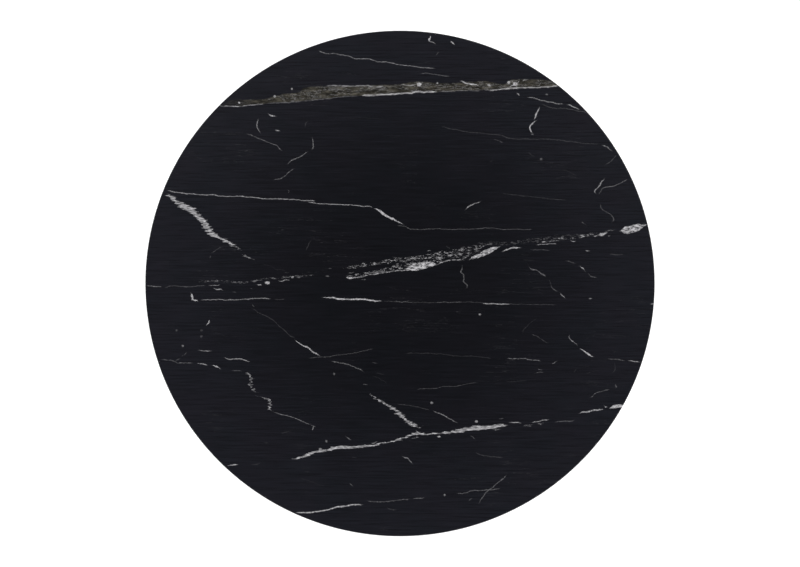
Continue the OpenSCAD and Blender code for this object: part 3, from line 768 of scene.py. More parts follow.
# Veins of loose white grains
CLOUD_VEINS = [
    (0.75, 5, [(-130, 26, 2), (-90, 32, 4), (-40, 40, 5), (0, 46, 6), (40, 50, 6), (90, 58, 8),
               (130, 62, 10), (150, 66, 8), (200, 80, 6)]),
    (0.75, 6, [(-120, 10, 3), (-80, 14, 5), (-30, 24, 5), (0, 30, 8), (60, 40, 6), (110, 52, 8)]),
    (0.75, 4, [(286, 83, 2), (330, 88), (369, 93), (400, 98), (436, 104)]),
    (0.6, 3, [(410, 96), (440, 104), (470, 112)]),
    (0.36, 5, [(136, 66), (140, 68), (164, 76), (180, 82), (232, 81), (250, 83), (275, 87),
               (304, 90), (334, 95), (369, 97), (396, 102)]),
    (0.7, 3, [(255, -312), (277, -313), (292, -309), (306, -308), (314, -304)]),
    (0.5, 3, [(-440, -2), (-400, 0), (-340, -4), (-290, 4), (-240, 8), (-180, 12)]),
]
# Veins of white grains that have almost grown together
CRUST_VEINS = [
    (1, 5, [(142, 42, 1), (156, 50, 3), (172, 56, 5), (186, 62, 7), (197, 67, 7), (212, 73, 4),
            (224, 78, 1)]),
    (1, 8, [(466, 109, 2), (474, 109, 4), (485, 110, 8), (500, 112, 10), (515, 116, 10),
            (530, 121, 7), (546, 126, 4)]),
    (1, 8, [(2, 22, 2), (14, 26, 6), (26, 29, 9), (40, 31, 10), (56, 34, 8), (72, 36, 5),
            (90, 40, 2)]),
    (0.8, 1.6, [(-120, 5), (-90, 8), (-60, 14), (0, 22), (40, 25), (70, 33), (103, 44),
                (142, 47)]),
    (0.9, 3, [(426, 100), (436, 101), (449, 103)]),
]
# Each spot is (strength, east, north, half length, half width), in millimetres
CLOUD_SPOTS = [
    (0.6, -156, 10, 6, 4), (0.9, -93, 8, 4, 3), (0.9, -84, 14, 4, 2.5), (0.9, -4, 30, 10, 8),
    (0.5, 16, 32, 18, 8), (0.6, 128, 57, 30, 15), (0.6, 86, 42, 8, 5), (0.6, 20, 46, 30, 8),
    (0.6, 150, 66, 26, 12),
]
SPOTS = [
    (1, 42, 431, 6, 6), (1, 251, 431, 6, 5), (0.9, 237, 434, 4, 4), (0.9, 194, 429, 4, 3),
    (0.9, -273, 404, 3, 3), (0.9, -350, 390, 3, 3), (0.8, -235, 421, 2.5, 2.5),
    (0.8, 81, 434, 2.5, 2.5), (0.4, 306, 266, 4, 3), (0.6, 319, 408, 3, 2),
    (1, -287, -5, 6, 4), (1, -232, 8, 3, 2), (0.3, -428, -108, 3, 3), (0.3, -428, -121, 3, 3),
    (0.3, -481, -108, 3, 3), (0.9, 437, 101, 7, 4), (0.7, 410, -39, 4, 2),
    (0.8, 172, -73, 4, 1.8), (0.5, -141, -202, 3, 3), (0.7, 68, -264, 3, 3),
    (0.6, -468, -142, 3, 3), (0.6, -158, -347, 3, 3), (1, 84, -337, 4, 2.2),
    (0.8, 164, -305, 4, 3), (0.6, 96, -462, 3, 3), (0.7, -171, -363, 4, 2.5),
    (0.8, 168, -322, 5, 2),
]
BAND_FOOT = [(-400, 383), (-356, 382), (-334, 384), (-313, 386), (-269, 390), (-238, 391),
             (-200, 395), (-160, 399), (-120, 403), (-55, 406), (0, 409), (25, 410), (33, 413),
             (85, 413), (140, 416), (220, 419), (280, 422), (309, 423), (352, 428)]
BAND_TOP = [(-400, 384), (-351, 398), (-320, 398), (-291, 400), (-255, 410), (-220, 414),
            (-211, 423), (-160, 427), (-100, 428), (-60, 430), (0, 432), (40, 438), (60, 436),
            (100, 434), (140, 436), (180, 438), (227, 432), (245, 442), (284, 443), (319, 440),
            (352, 432)]
BAND_VEINS = [
    (0.9, 1.2, [(-400, 383), (-356, 382), (-334, 384), (-313, 386), (-293, 389)]),
    (0.5, 1.4, [(-293, 389), (-269, 390), (-238, 391), (-200, 395), (-160, 399), (-120, 403),
                (-88, 405)]),
    (1, 2.3, [(-88, 406), (-55, 407), (-20, 409), (0, 410), (25, 411), (33, 414), (85, 414)]),
    (0.5, 1.6, [(85, 414), (140, 417), (180, 417)]),
    (0.9, 2, [(180, 417), (220, 420), (245, 422), (280, 423), (309, 424), (350, 428)]),
    (0.75, 2, [(-165, 427), (-140, 428), (-100, 427), (-72, 428), (-55, 425), (-40, 426),
               (-30, 422)]),
    (0.75, 2, [(0, 430), (20, 428), (40, 432)]),
    (0.6, 1.5, [(-160, 418), (-140, 420), (-115, 420), (-108, 416)]),
]


WIDTH_SHARE = 0.8    # a vein's drawn half width for each millimetre that its list gives
SOFT_EDGE = 0.3      # and what its soft edge adds, in millimetres
TIP_REACH = 1.5      # how far a vein's thin tip goes past its last point
LANE_GAP = 5         # veins that share curves are at least this far apart along them
LANE_LENGTH = 600    # and the shared curves are at most this long


def curves_at(tree, position, *columns):
    """Up to three curves through lists of points, all read at the same position"""
    node = add(tree, "VectorCurve", {"Vector": position})
    mapping = node.mapping
    mapping.use_clip = False
    mapping.extend = "HORIZONTAL"
    for curve, points in zip(mapping.curves, columns):
        while len(curve.points) < len(points):
            curve.points.new(0, 0)
        for knot, place in zip(curve.points, points):
            knot.location = place
            knot.handle_type = "AUTO_CLAMPED"
    mapping.update()
    return node.outputs[0]


def along_vein(strength, width, course):
    """A vein's axis (0 east, 1 north), its centre line, its half widths along it, its strength"""
    course = [(*point, width)[:3] for point in course]
    spans = [max(p[k] for p in course) - min(p[k] for p in course) for k in (0, 1)]
    along, across = (0, 1) if spans[0] >= spans[1] else (1, 0)
    course = sorted(course, key=lambda p: p[along])
    first, last = course[0], course[-1]
    tips = [min(6 + 4 * end[2], 0.48 * (last[along] - first[along])) for end in (first, last)]
    halves = [(first[along] - TIP_REACH, 0)]
    for i, point in enumerate(course):
        a, b = course[max(i - 1, 0)], course[min(i + 1, len(course) - 1)]
        slope = (b[across] - a[across]) / max(b[along] - a[along], 0.5)
        half = WIDTH_SHARE * point[2] * math.hypot(1, min(abs(slope), 1.5)) + SOFT_EDGE
        if point is first:
            halves.append((point[along] + tips[0], half))
        elif point is last:
            halves.append((point[along] - tips[1], half))
        elif first[along] + tips[0] + 2 < point[along] < last[along] - tips[1] - 2:
            halves.append((point[along], half))
    halves.append((last[along] + TIP_REACH, 0))
    return along, [(p[along], p[across]) for p in course], halves, strength


def add_veins(tree, east, north, veins_to_add, grain, veins):
    """Adds veins to those that are there; veins that follow one another share one set of curves"""
    places = [add(tree, "CombineXYZ", {0: axis, 1: axis, 2: axis}).outputs[0]
              for axis in (east, north)]
    lanes = []
    for along, centres, halves, strength in sorted((along_vein(*vein) for vein in veins_to_add),
                                                   key=lambda vein: (vein[0], vein[2][0][0])):
        start, end = halves[0][0], halves[-1][0]
        for lane in lanes:
            apart = lane["end"] + LANE_GAP < start
            if lane["along"] == along and apart and end - lane["start"] < LANE_LENGTH:
                break
        else:
            lane = {"along": along, "start": start, "centres": [], "halves": [], "strengths": []}
            lanes.append(lane)
        lane["end"] = end
        lane["centres"] += centres
        lane["halves"] += halves
        lane["strengths"] += [(start - 1, strength), (end + 1, strength)]
    for lane in lanes:
        for key in ("centres", "strengths"):
            first, last = lane[key][0], lane[key][-1]
            lane[key] = [(lane["start"] - 2, first[1])] + lane[key] + [(lane["end"] + 2, last[1])]
        lane["halves"] = [(lane["start"] - 2, 0)] + lane["halves"] + [(lane["end"] + 2, 0)]
        course = curves_at(tree, places[lane["along"]], lane["centres"], lane["halves"],
                           lane["strengths"])
        veins = use_group(tree, "vein_line", {
            "Across": (north, east)[lane["along"]], "Course": course, "Grain": grain,
            "Other Veins": veins})
    return veins


def add_spot(tree, east, north, spot, grain, veins):
    """Adds one spot to the veins that are there"""
    return use_group(tree, "vein_spot", {
        "Along": east, "Across": north, "Middle Along": spot[1], "Middle Across": spot[2],
        "Half Length": spot[3], "Half Width": spot[4], "Strength": spot[0], "Grain": grain,
        "Other Veins": veins})


def stone_material(top):
    """Honed near-black marble with white veins and one khaki band, sawn rough underneath"""
    stone = settings("stone")
    material, tree, place, shader = new_material("veined_marble")
    parts = add(tree, "SeparateXYZ", {0: place}).outputs
    depth = maths(tree, "SUBTRACT", top, parts[2])
    flat = add(tree, "CombineXYZ", {0: parts[0], 1: parts[1]}).outputs[0]
    wander = add(tree, "SeparateXYZ", {0: noise(tree, flat, 55, 5, 0.78, "Color")}).outputs
    east = maths(tree, "MULTIPLY_ADD", parts[0], 1000, maths(tree, "MULTIPLY", depth, 250))
    north = maths(tree, "MULTIPLY_ADD", parts[1], 1000, maths(tree, "MULTIPLY", depth, -420))
    east = maths(tree, "ADD", east, maths(tree, "MULTIPLY_ADD", wander[0], 8, -4))
    north = maths(tree, "ADD", north, maths(tree, "MULTIPLY_ADD", wander[1], 8, -4))
    teeth = noise(tree, stretched(tree, flat, (26, 300, 1)), 1, 3, 0.75)
    jagged = maths(tree, "ADD", east, maths(tree, "MULTIPLY_ADD", teeth, 40, -20))
    breaks = remap(tree, noise(tree, flat, 240, 6, 0.85), 0.38, 0.56, 0.4, 1)
    streaks = remap(tree, noise(tree, stretched(tree, flat, (70, 620, 1), (0, 0, -0.12)), 1, 4, 0.7),
                    0.40, 0.58, 0.25, 1)
    specks = noise(tree, stretched(tree, flat, (95, 210, 1), (0, 0, -0.12)), 1, 7, 0.82)
    grains = remap(tree, specks, 0.51, 0.58, 0.0, 1)
    crust = remap(tree, specks, 0.43, 0.54, 0.2, 1)

    veins = maths(tree, "MULTIPLY", breaks, 0.0)
    fine = (NORTH_VEINS + EAST_UPPER_VEINS + WEST_UPPER_VEINS + WEST_MIDDLE_VEINS + MIDDLE_VEINS
            + EAST_MIDDLE_VEINS + LONG_VEINS + WEST_LOWER_VEINS + EAST_LOWER_VEINS + SOUTH_VEINS)
    veins = add_veins(tree, east, north, fine, breaks, veins)
    veins = add_veins(tree, east, north, BAND_VEINS, streaks, veins)
    veins = add_veins(tree, jagged, north, RAGGED_VEINS, streaks, veins)
    veins = add_veins(tree, east, north, CLOUD_VEINS, grains, veins)
    veins = add_veins(tree, east, north, CRUST_VEINS, crust, veins)
    for spot in CLOUD_SPOTS:
        veins = add_spot(tree, east, north, spot, grains, veins)
    for spot in SPOTS:
        veins = add_spot(tree, east, north, spot, breaks, veins)

    edges = curves_at(tree, add(tree, "CombineXYZ", {0: east, 1: east}).outputs[0],
                      BAND_FOOT, BAND_TOP)
    foot, head = add(tree, "SeparateXYZ", {0: edges}).outputs[:2]
    over = maths(tree, "SUBTRACT", north, foot)
    under = maths(tree, "SUBTRACT", head, north)
    inside = maths(tree, "MULTIPLY", maths(tree, "MINIMUM", over, under), 0.5, clamp=True)
    reach = maths(tree, "MULTIPLY", remap(tree, east, -395, -300), remap(tree, east, 356, 346))
    inside = maths(tree, "MULTIPLY", inside, reach)
    mottle = noise(tree, stretched(tree, flat, (42, 150, 1), (0, 0, -0.04)), 1, 7, 0.78)
    crumbs = remap(tree, mottle, 0.47, 0.62)
    net = noise(tree, stretched(tree, flat, (26, 105, 1), (0, 0, -0.04)), 1, 5, 0.68)
    threads = remap(tree, maths(tree, "ABSOLUTE", maths(tree, "SUBTRACT", net, 0.53)), 0.02, 0.0)
    threads = maths(tree, "MULTIPLY", maths(tree, "MULTIPLY", threads, inside), breaks)
    veins = maths(tree, "MAXIMUM", veins, maths(tree, "MULTIPLY", threads, 0.72))
    hair = noise(tree, stretched(tree, flat, (3.2, 46, 1), (0, 0, -0.05)), 1, 4, 0.6)
    hair = remap(tree, maths(tree, "ABSOLUTE", maths(tree, "SUBTRACT", hair, 0.5)), 0.006, 0.0)
    patch = remap(tree, noise(tree, flat, 6, 2), 0.48, 0.62, 0.0, 0.22)
    hair = maths(tree, "MULTIPLY", maths(tree, "MULTIPLY", hair, patch), breaks)
    veins = maths(tree, "MAXIMUM", veins, hair)

    shade = noise(tree, flat, 9, 4, 0.55)
    bedding = noise(tree, stretched(tree, flat, (12, 260, 1)), 1, 3, 0.6)
    radius = add(tree, "VectorMath", {0: flat}, operation="LENGTH").outputs["Value"]
    # Painted light: the ground is drawn lighter towards the rim, standing in for the studio light on the
    # top's outer part; the bedding and the fine noise that follow are the stone's own tone.
    tone_and_rim_light = remap(tree, radius, 0.12, 0.56, 0.82, 1.5, "SMOOTHSTEP")
    tone_and_rim_light = maths(tree, "MULTIPLY", tone_and_rim_light, remap(tree, bedding, 0.3, 0.7, 0.7, 1.3))
    tone_and_rim_light = maths(tree, "MULTIPLY", tone_and_rim_light, remap(tree, noise(tree, flat, 800, 2), 0.3, 0.7, 0.9, 1.1))
    ground = blend(tree, remap(tree, shade, 0.38, 0.62), tuple(
        c * k for c, k in zip(stone.ground, (0.96, 1.03, 1.0))), tuple(
        c * k for c, k in zip(stone.ground, (1.02, 1.0, 1.0))))
    # The ground's colour, with the painted rim light in it.
    ground_and_rim_light = add(tree, "VectorMath", {0: ground, "Scale": tone_and_rim_light}, operation="SCALE").outputs[0]
    dark_band = tuple(c * 0.16 for c in stone.band)
    band = blend(tree, crumbs, dark_band, tuple(stone.band))
    body = blend(tree, inside, ground_and_rim_light, band)
    bright = maths(tree, "POWER", veins, 1.9)
    milk = blend(tree, remap(tree, noise(tree, flat, 260, 3), 0.3, 0.7),
                 tuple(c * 0.84 for c in stone.vein), tuple(stone.vein))
    surface = blend(tree, bright, body, milk)

    facing = add(tree, "SeparateXYZ", {0: add(tree, "NewGeometry").outputs["Normal"]}).outputs[2]
    sawn = remap(tree, facing, -0.9, -0.97)
    dull = blend(tree, 0.82, surface, (0.085, 0.085, 0.088))
    feed(tree, shader, Base_Color=blend(tree, sawn, surface, dull), Specular_IOR_Level=0.32)
    gloss = maths(tree, "MULTIPLY_ADD", bright, 0.06, remap(tree, shade, 0.25, 0.75, 0.25, 0.275))
    feed(tree, shader, Roughness=maths(tree, "MULTIPLY_ADD", sawn, 0.5, gloss, clamp=True))
    saw = noise(tree, stretched(tree, place, (3, 420, 1), (0, 0, 0.4)), 1, 2)
    pits = remap(tree, noise(tree, place, 1500, 2, 0.7), 0.32, 0.42)
    ripple = maths(tree, "MULTIPLY", saw, sawn)
    height = maths(tree, "ADD", maths(tree, "MULTIPLY", ripple, 1.0),
                   maths(tree, "MULTIPLY", pits, 0.02))
    feed(tree, shader, Normal=bump(tree, height, 0.0004))
    return material


# ---------------------------------------------------------------- the other materials

def wood_material(low, high):
    """Black-stained birch plywood: a fine long grain on its faces and light and dark plies"""
    stain = tuple(settings("board").stain)
    material, tree, place, shader = new_material("stained_plywood")
    grain = noise(tree, stretched(tree, place, (14, 520, 60)), 1, 5, 0.62)
    figure = noise(tree, stretched(tree, place, (2.2, 22, 9)), 1, 3, 0.6)
    face = blend(tree, remap(tree, grain, 0.34, 0.66), tuple(c * 0.55 for c in stain),
                 tuple(c * 1.9 for c in stain))
    face = blend(tree, remap(tree, figure, 0.4, 0.62, 0, 0.5), face, tuple(c * 2.6 for c in stain))
    parts = add(tree, "SeparateXYZ", {0: place}).outputs
    layer = maths(tree, "DIVIDE", maths(tree, "SUBTRACT", parts[2], low), (high - low) / 11)
    wobble = maths(tree, "MULTIPLY_ADD", noise(tree, stretched(tree, place, (8, 8, 60)), 1), 0.3,
                   layer)
    turn = maths(tree, "PINGPONG", wobble, 1)
    fibre = noise(tree, stretched(tree, place, (170, 170, 900)), 1, 4, 0.7)
    light = blend(tree, fibre, tuple(c * 1.5 for c in stain), tuple(c * 5.5 for c in stain))
    dark = blend(tree, fibre, tuple(c * 0.5 for c in stain), tuple(c * 2.0 for c in stain))
    plies = blend(tree, remap(tree, turn, 0.42, 0.58), light, dark)
    facing = add(tree, "SeparateXYZ", {0: add(tree, "NewGeometry").outputs["Normal"]}).outputs[2]
    edge = remap(tree, maths(tree, "ABSOLUTE", facing), 0.96, 0.9)
    surface = blend(tree, edge, face, plies)
    dust = use_group(tree, "settled_dust", {"Vector": place, "Amount": 0.35})
    feed(tree, shader, Base_Color=blend(tree, dust, surface, (0.2, 0.19, 0.18)),
         Roughness=remap(tree, grain, 0.3, 0.7, 0.48, 0.66),
         Normal=bump(tree, maths(tree, "ADD", grain, maths(tree, "MULTIPLY", turn, edge)), 0.0002))
    return material


def paint_material():
    """Satin black powder coat on steel, lightly rubbed on its edges, with a little dust"""
    paint = tuple(settings("spider").paint)
    material, tree, place, shader = new_material("black_powder_coat")
    drift = noise(tree, place, 7, 3)
    coat = blend(tree, remap(tree, drift, 0.3, 0.7), tuple(c * 0.94 for c in paint),
                 tuple(c * 1.08 for c in paint))
    wear = use_group(tree, "edge_wear", {"Vector": place, "Reach": 0.9, "Amount": 0.25})
    dust = use_group(tree, "settled_dust", {"Vector": place, "Amount": 0.18})
    coat = blend(tree, wear, coat, (0.11, 0.11, 0.115))
    feed(tree, shader, Base_Color=blend(tree, dust, coat, (0.22, 0.21, 0.2)))
    smudge = remap(tree, noise(tree, place, 18, 4, 0.6), 0.3, 0.75, 0.39, 0.43)
    feed(tree, shader, Roughness=maths(tree, "MULTIPLY_ADD", dust, 0.35, smudge, clamp=True),
         Normal=bump(tree, use_group(tree, "paint_peel", {"Vector": place, "Size": 620}), 0.00012))
    return material


def metal_material(name, light, dark, rough, centre=(0, 0), mark=0.00003, wear_amount=0.0):
    """Plated or bare metal with turning marks about an axis and cloudy toning"""
    material, tree, place, shader = new_material(name)
    cloud = noise(tree, place, 130, 4, 0.6)
    surface = blend(tree, remap(tree, cloud, 0.32, 0.68), dark, light)
    marks = use_group(tree, "turning_marks", {"Vector": place, "Centre X": centre[0],
                                              "Centre Y": centre[1]})
    if wear_amount:
        wear = use_group(tree, "edge_wear", {"Vector": place, "Reach": 0.8,
                                             "Amount": wear_amount})
        surface = blend(tree, wear, surface, tuple(min(1, c * 2 + 0.15) for c in light))
    feed(tree, shader, Base_Color=surface, Metallic=1.0,
         Roughness=remap(tree, marks, 0.3, 0.7, rough - 0.07, rough + 0.09),
         Normal=bump(tree, marks, mark))
    return material


def iron_material():
    """Sand-cast grey iron under a thin dark primer, with patches of rust showing"""
    material, tree, place, shader = new_material("cast_iron")
    sand = noise(tree, place, 520, 5, 0.72)
    lumps = noise(tree, place, 60, 3, 0.5)
    rust = remap(tree, noise(tree, place, 24, 6, 0.7), 0.56, 0.7, 0, 0.5)
    surface = blend(tree, remap(tree, sand, 0.35, 0.7), (0.028, 0.028, 0.03), (0.075, 0.074, 0.072))
    surface = blend(tree, rust, surface, (0.11, 0.045, 0.02))
    wear = use_group(tree, "edge_wear", {"Vector": place, "Reach": 0.8, "Amount": 0.4})
    feed(tree, shader, Base_Color=blend(tree, wear, surface, (0.2, 0.19, 0.18)), Metallic=0.25,
         Roughness=remap(tree, sand, 0.3, 0.7, 0.58, 0.8),
         Normal=bump(tree, maths(tree, "MULTIPLY_ADD", lumps, 1.4, sand), 0.00045))
    return material


def soft_material(name, light, dark, scale, rough, depth, subsurface=0.0):
    """Rubber, silicone or moulded plastic: a fine uneven skin with slight clouding"""
    material, tree, place, shader = new_material(name)
    cloud = noise(tree, place, scale * 0.12, 3)
    skin = noise(tree, place, scale, 3, 0.6)
    dust = use_group(tree, "settled_dust", {"Vector": place, "Amount": 0.3})
    surface = blend(tree, remap(tree, cloud, 0.35, 0.65), dark, light)
    feed(tree, shader, Base_Color=blend(tree, dust, surface, (0.3, 0.29, 0.27)),
         Roughness=remap(tree, skin, 0.3, 0.7, rough - 0.06, rough + 0.08),
         Subsurface_Weight=subsurface, Normal=bump(tree, skin, depth))
    return material


def felt_material():
    """Pressed grey felt: matted fibres that cross, with pale and dark hairs"""
    material, tree, place, shader = new_material("pressed_felt")
    hairs = noise(tree, stretched(tree, place, (300, 2600, 900), (0, 0, 0.5)), 1, 4, 0.8)
    strays = noise(tree, stretched(tree, place, (2600, 300, 900), (0, 0, 0.2)), 1, 4, 0.8)
    mat = maths(tree, "MAXIMUM", hairs, strays)
    feed(tree, shader, Roughness=0.95, Sheen_Weight=0.3,
         Base_Color=blend(tree, remap(tree, mat, 0.4, 0.75), (0.045, 0.043, 0.04),
                          (0.2, 0.19, 0.18)),
         Normal=bump(tree, mat, 0.0005))
    return material


def material_for(name, maker, *values, **named):
    """A material by name, made the first time that it is asked for"""
    return bpy.data.materials.get(name) or maker(*values, **named)


def zinc():
    """Bright zinc plating"""
    return material_for("zinc_plated_steel", metal_material, "zinc_plated_steel",
                        (0.62, 0.63, 0.64), (0.42, 0.43, 0.45), 0.3)


def oxide():
    """Black oxide, worn at the edges"""
    return material_for("black_oxide_steel", metal_material, "black_oxide_steel",
                        (0.06, 0.06, 0.065), (0.03, 0.03, 0.034), 0.38, wear_amount=0.25)


def paint():
    """The black powder coat that the spider, column and base share"""
    return material_for("black_powder_coat", paint_material)


# ---------------------------------------------------------------- operators, one for each piece

class PieceOperator(bpy.types.Operator):
    """Builds one piece of the table"""
    bl_options = {"REGISTER", "UNDO"}


class TABLE_OT_slab(PieceOperator):
    """Builds the bevelled stone slab"""
    bl_idname = "table.slab"
    bl_label = "Stone slab"

    def execute(self, context):
        low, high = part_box("stone_top")
        stone = settings("stone")
        slab = turned("stone_slab", [
            (high.x - stone.bevel_width, low.z), (high.x, low.z + stone.bevel_height),
            *arc(high.x - stone.arris, high.z - stone.arris, stone.arris, 0, 90, 6)],
            sides=288, closed=False)
        ease(slab, 0.0006, 2)
        finish(slab, ["stone_top"], stone_material(high.z), angle=25)
        return {"FINISHED"}


class TABLE_OT_dabs(PieceOperator):
    """Builds the silicone dabs between slab and board"""
    bl_idname = "table.dabs"
    bl_label = "Silicone dabs"

    def execute(self, context):
        low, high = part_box("silicone_dabs")
        radius = settings("stone").dab_radius
        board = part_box("backing_board")[1].x
        rings = []
        middle = (low.z + high.z) / 2
        for reach, count in ((board - 0.050, 12), ((0.025 + board - 0.050) / 2, 6)):
            turn = math.pi / count
            at = (reach * math.cos(turn), reach * math.sin(turn))
            dab = turned("dab", [(radius * 0.965, low.z), (radius * 0.99, low.z + 0.0003),
                                 (radius, middle), (radius * 0.985, high.z - 0.0003),
                                 (radius * 0.955, high.z)], sides=48, at=at, closed=False)
            rings.append(ring_of(dab, count, "dabs"))
        finish(join(rings, "silicone_beads"), ["silicone_dabs"],
               soft_material("clear_silicone", (0.72, 0.72, 0.7), (0.55, 0.55, 0.52), 260, 0.3,
                             0.0001, 0.3))
        return {"FINISHED"}


def bolt_places():
    """The twelve bolts' places: two for each arm and one between arms on the hub"""
    spider = settings("spider")
    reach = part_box("spider_arms")[1].x - spider.bolt_inset
    hub = (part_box("upper_collar")[1].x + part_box("spider_hub")[1].x) / 2
    places = []
    for i in range(4):
        turn = math.pi / 2 * i
        for side in (-spider.bolt_side, spider.bolt_side):
            places.append(("arm", reach * math.cos(turn) - side * math.sin(turn),
                           reach * math.sin(turn) + side * math.cos(turn)))
        places.append(("hub", hub * math.cos(turn + math.pi / 4),
                       hub * math.sin(turn + math.pi / 4)))
    return places


def drill(piece, places, radius, low, high, sides=32):
    """Bores upright holes through a piece"""
    cutters = [rod_along("drill", radius, (x, y, low), (x, y, high), sides) for x, y in places]
    carve(piece, join(cutters, "drills"))


def at_bolts(maker, name):
    """Models a bolted piece once for an arm and once for the hub, and copies it to its places"""
    copies = []
    for kind in ("arm", "hub"):
        places = [place[1:] for place in bolt_places() if place[0] == kind]
        first = maker(kind, places[0])
        copies.append(first)
        for x, y in places[1:]:
            copies.append(copy_of(first, move=(x - places[0][0], y - places[0][1], 0)))
    return join(copies, name)


class TABLE_OT_board(PieceOperator):
    """Builds the plywood backing board and its threaded inserts"""
    bl_idname = "table.board"
    bl_label = "Backing board"

    def execute(self, context):
        low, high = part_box("backing_board")
        sizes = settings("board")
        board = turned("plywood_board", [
            (sizes.access, low.z), (high.x - sizes.bevel, low.z), (high.x, low.z + sizes.bevel),
            (high.x, high.z), (sizes.access, high.z)], sides=192)
        ease(board, 0.0008, 2)
        insert_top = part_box("threaded_inserts")[1].z
        places = [place[1:] for place in bolt_places()]
        drill(board, places, 0.006, low.z - 0.01, insert_top)
        finish(board, ["backing_board"], wood_material(low.z, high.z), angle=25)
        bolt = settings("spider").bolt

        def insert(kind, at):
            body = [(bolt, low.z), (0.006, low.z)]
            body += [(0.006, low.z + 0.0012)] + thread(0.006, low.z + 0.0013, insert_top - 0.0006,
                                                       0.0018, 0.0004)
            body += [(0.0052, insert_top), (bolt, insert_top)]
            return turned("insert", body, sides=32, at=at)
        finish(at_bolts(insert, "brass_inserts"), ["threaded_inserts"],
               metal_material("turned_brass", (0.72, 0.52, 0.22), (0.5, 0.34, 0.14), 0.3))
        return {"FINISHED"}


class TABLE_OT_hub(PieceOperator):
    """Builds the hub plate with its spigot"""
    bl_idname = "table.hub"
    bl_label = "Spider hub"

    def execute(self, context):
        low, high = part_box("spider_hub")
        spider = settings("spider")
        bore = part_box("tie_rod")[1].x + settings("column").rod_gap
        under = high.z - spider.plate
        floor = high.z - spider.recess_depth
        hub = turned("hub_plate", [
            (bore, low.z), (spider.spigot, low.z), (spider.spigot, under), (high.x, under),
            (high.x, high.z), (spider.recess_radius, high.z), (spider.recess_radius, floor),
            (bore, floor)], sides=128)
        ease(hub, 0.0006, 2)
        places = [place[1:] for place in bolt_places() if place[0] == "hub"]
        drill(hub, places, spider.bolt + 0.0005, under - 0.01, high.z + 0.01)
        finish(hub, ["spider_hub"], paint())
        return {"FINISHED"}


class TABLE_OT_arms(PieceOperator):
    """Builds the four welded T-section arms"""
    bl_idname = "table.arms"
    bl_label = "Spider arms"

    def execute(self, context):
        low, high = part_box("spider_arms")
        spider = settings("spider")
        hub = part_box("spider_hub")[1].x
        under = high.z - spider.plate
        flange_under = high.z - spider.flange
        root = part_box("upper_collar")[1].x + 0.0005
        flange = block("arm", (hub * 0.5, -spider.arm_width / 2, flange_under),
                       (high.x, spider.arm_width / 2, high.z))
        bpy.ops.object.mode_set(mode="EDIT")
        pick_edges(flange, lambda a, b: abs(a.x - high.x) < 1e-5 and abs(b.x - high.x) < 1e-5
                   and abs(a.z - b.z) > 0.001)
        bpy.ops.mesh.bevel(offset=0.009, segments=8)
        bpy.ops.object.mode_set(mode="OBJECT")
        ease(flange, 0.0006, 2)
        carve(flange, rod_along("hub", hub, (0, 0, under - 0.02), (0, 0, high.z + 0.02), 128))
        side = spider.bolt_side
        reach = high.x - spider.bolt_inset
        drill(flange, [(reach, -side), (reach, side)], spider.bolt + 0.0005, flange_under - 0.01,
              high.z + 0.01)
        web = block("web", (root, -spider.web / 2, low.z),
                    (high.x - spider.flange, spider.web / 2, flange_under + 0.0003))
        bpy.ops.object.mode_set(mode="EDIT")
        bpy.ops.mesh.select_all(action="SELECT")
        start = Vector((hub + spider.flange, 0, low.z))
        end = Vector((high.x - spider.flange, 0, high.z - spider.tip_height))
        along = end - start
        bpy.ops.mesh.bisect(plane_co=start, plane_no=(along.z, 0, -along.x), use_fill=True,
                            clear_outer=True)
        bpy.ops.object.mode_set(mode="OBJECT")
        carve(web, rod_along("hub", hub + 0.0005, (0, 0, under), (0, 0, high.z + 0.02), 128))
        ease(web, 0.0007, 2)
        beads = []
        for edge in (-1, 1):
            start_x, end_x = hub + 0.003, high.x - spider.flange - 0.004
            count = round((end_x - start_x) / 0.0032)
            outline = []
            for i in range(count):
                foot = (end_x - start_x) * i / count
                step = (end_x - start_x) / count
                outline += [(0.0017, foot), (0.0023, foot + 0.35 * step),
                            (0.0023, foot + 0.65 * step)]
            bead = turned("bead", outline + [(0.0014, end_x - start_x)], sides=10, closed=False)
            bead.rotation_euler = (0, math.pi / 2, 0)
            bead.location = (start_x, edge * (spider.web / 2 + 0.0002), flange_under - 0.0002)
            beads.append(settle(bead))
        arm = join([flange, web] + beads, "arm")
        finish(ring_of(arm, 4, "welded_arms"), ["spider_arms"], paint())
        return {"FINISHED"}


class TABLE_OT_bolts(PieceOperator):
    """Builds the button-head bolts and their washers"""
    bl_idname = "table.bolts"
    bl_label = "Bolts and washers"

    def execute(self, context):
        spider = settings("spider")
        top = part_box("spider_arms")[1].z
        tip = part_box("board_bolts")[1].z
        seats = {"arm": top - spider.flange - spider.washer_height,
                 "hub": top - spider.plate - spider.washer_height}

        def bolt(kind, at):
            seat = seats[kind]
            dome = [(spider.head / 2 * (1 + math.sin(a)), seat - spider.head_height * math.cos(a))
                    for a in (math.pi / 2 * i / 8 for i in range(9))]
            body = turned("bolt", dome + [(spider.bolt, seat), (spider.bolt, seat + 0.004)]
                          + thread(spider.bolt, seat + 0.0042, tip, 0.00125, 0.0005),
                          sides=40, at=at, closed=False)
            socket = 0.0025 / math.cos(math.pi / 6)
            foot = seat - spider.head_height
            carve(body, rod_along("key", socket, (*at, foot - 0.001), (*at, foot + 0.0026), 6))
            return body
        finish(at_bolts(bolt, "button_bolts"), ["board_bolts"], oxide())

        def washer(kind, at):
            seat = seats[kind]
            ring = turned("washer", [
                (spider.bolt + 0.0005, seat), (spider.washer, seat),
                (spider.washer, seat + spider.washer_height),
                (spider.bolt + 0.0005, seat + spider.washer_height)], sides=40, at=at)
            ease(ring, 0.0002, 2)
            return ring
        finish(at_bolts(washer, "bolt_washers"), ["board_washers"], zinc())
        return {"FINISHED"}


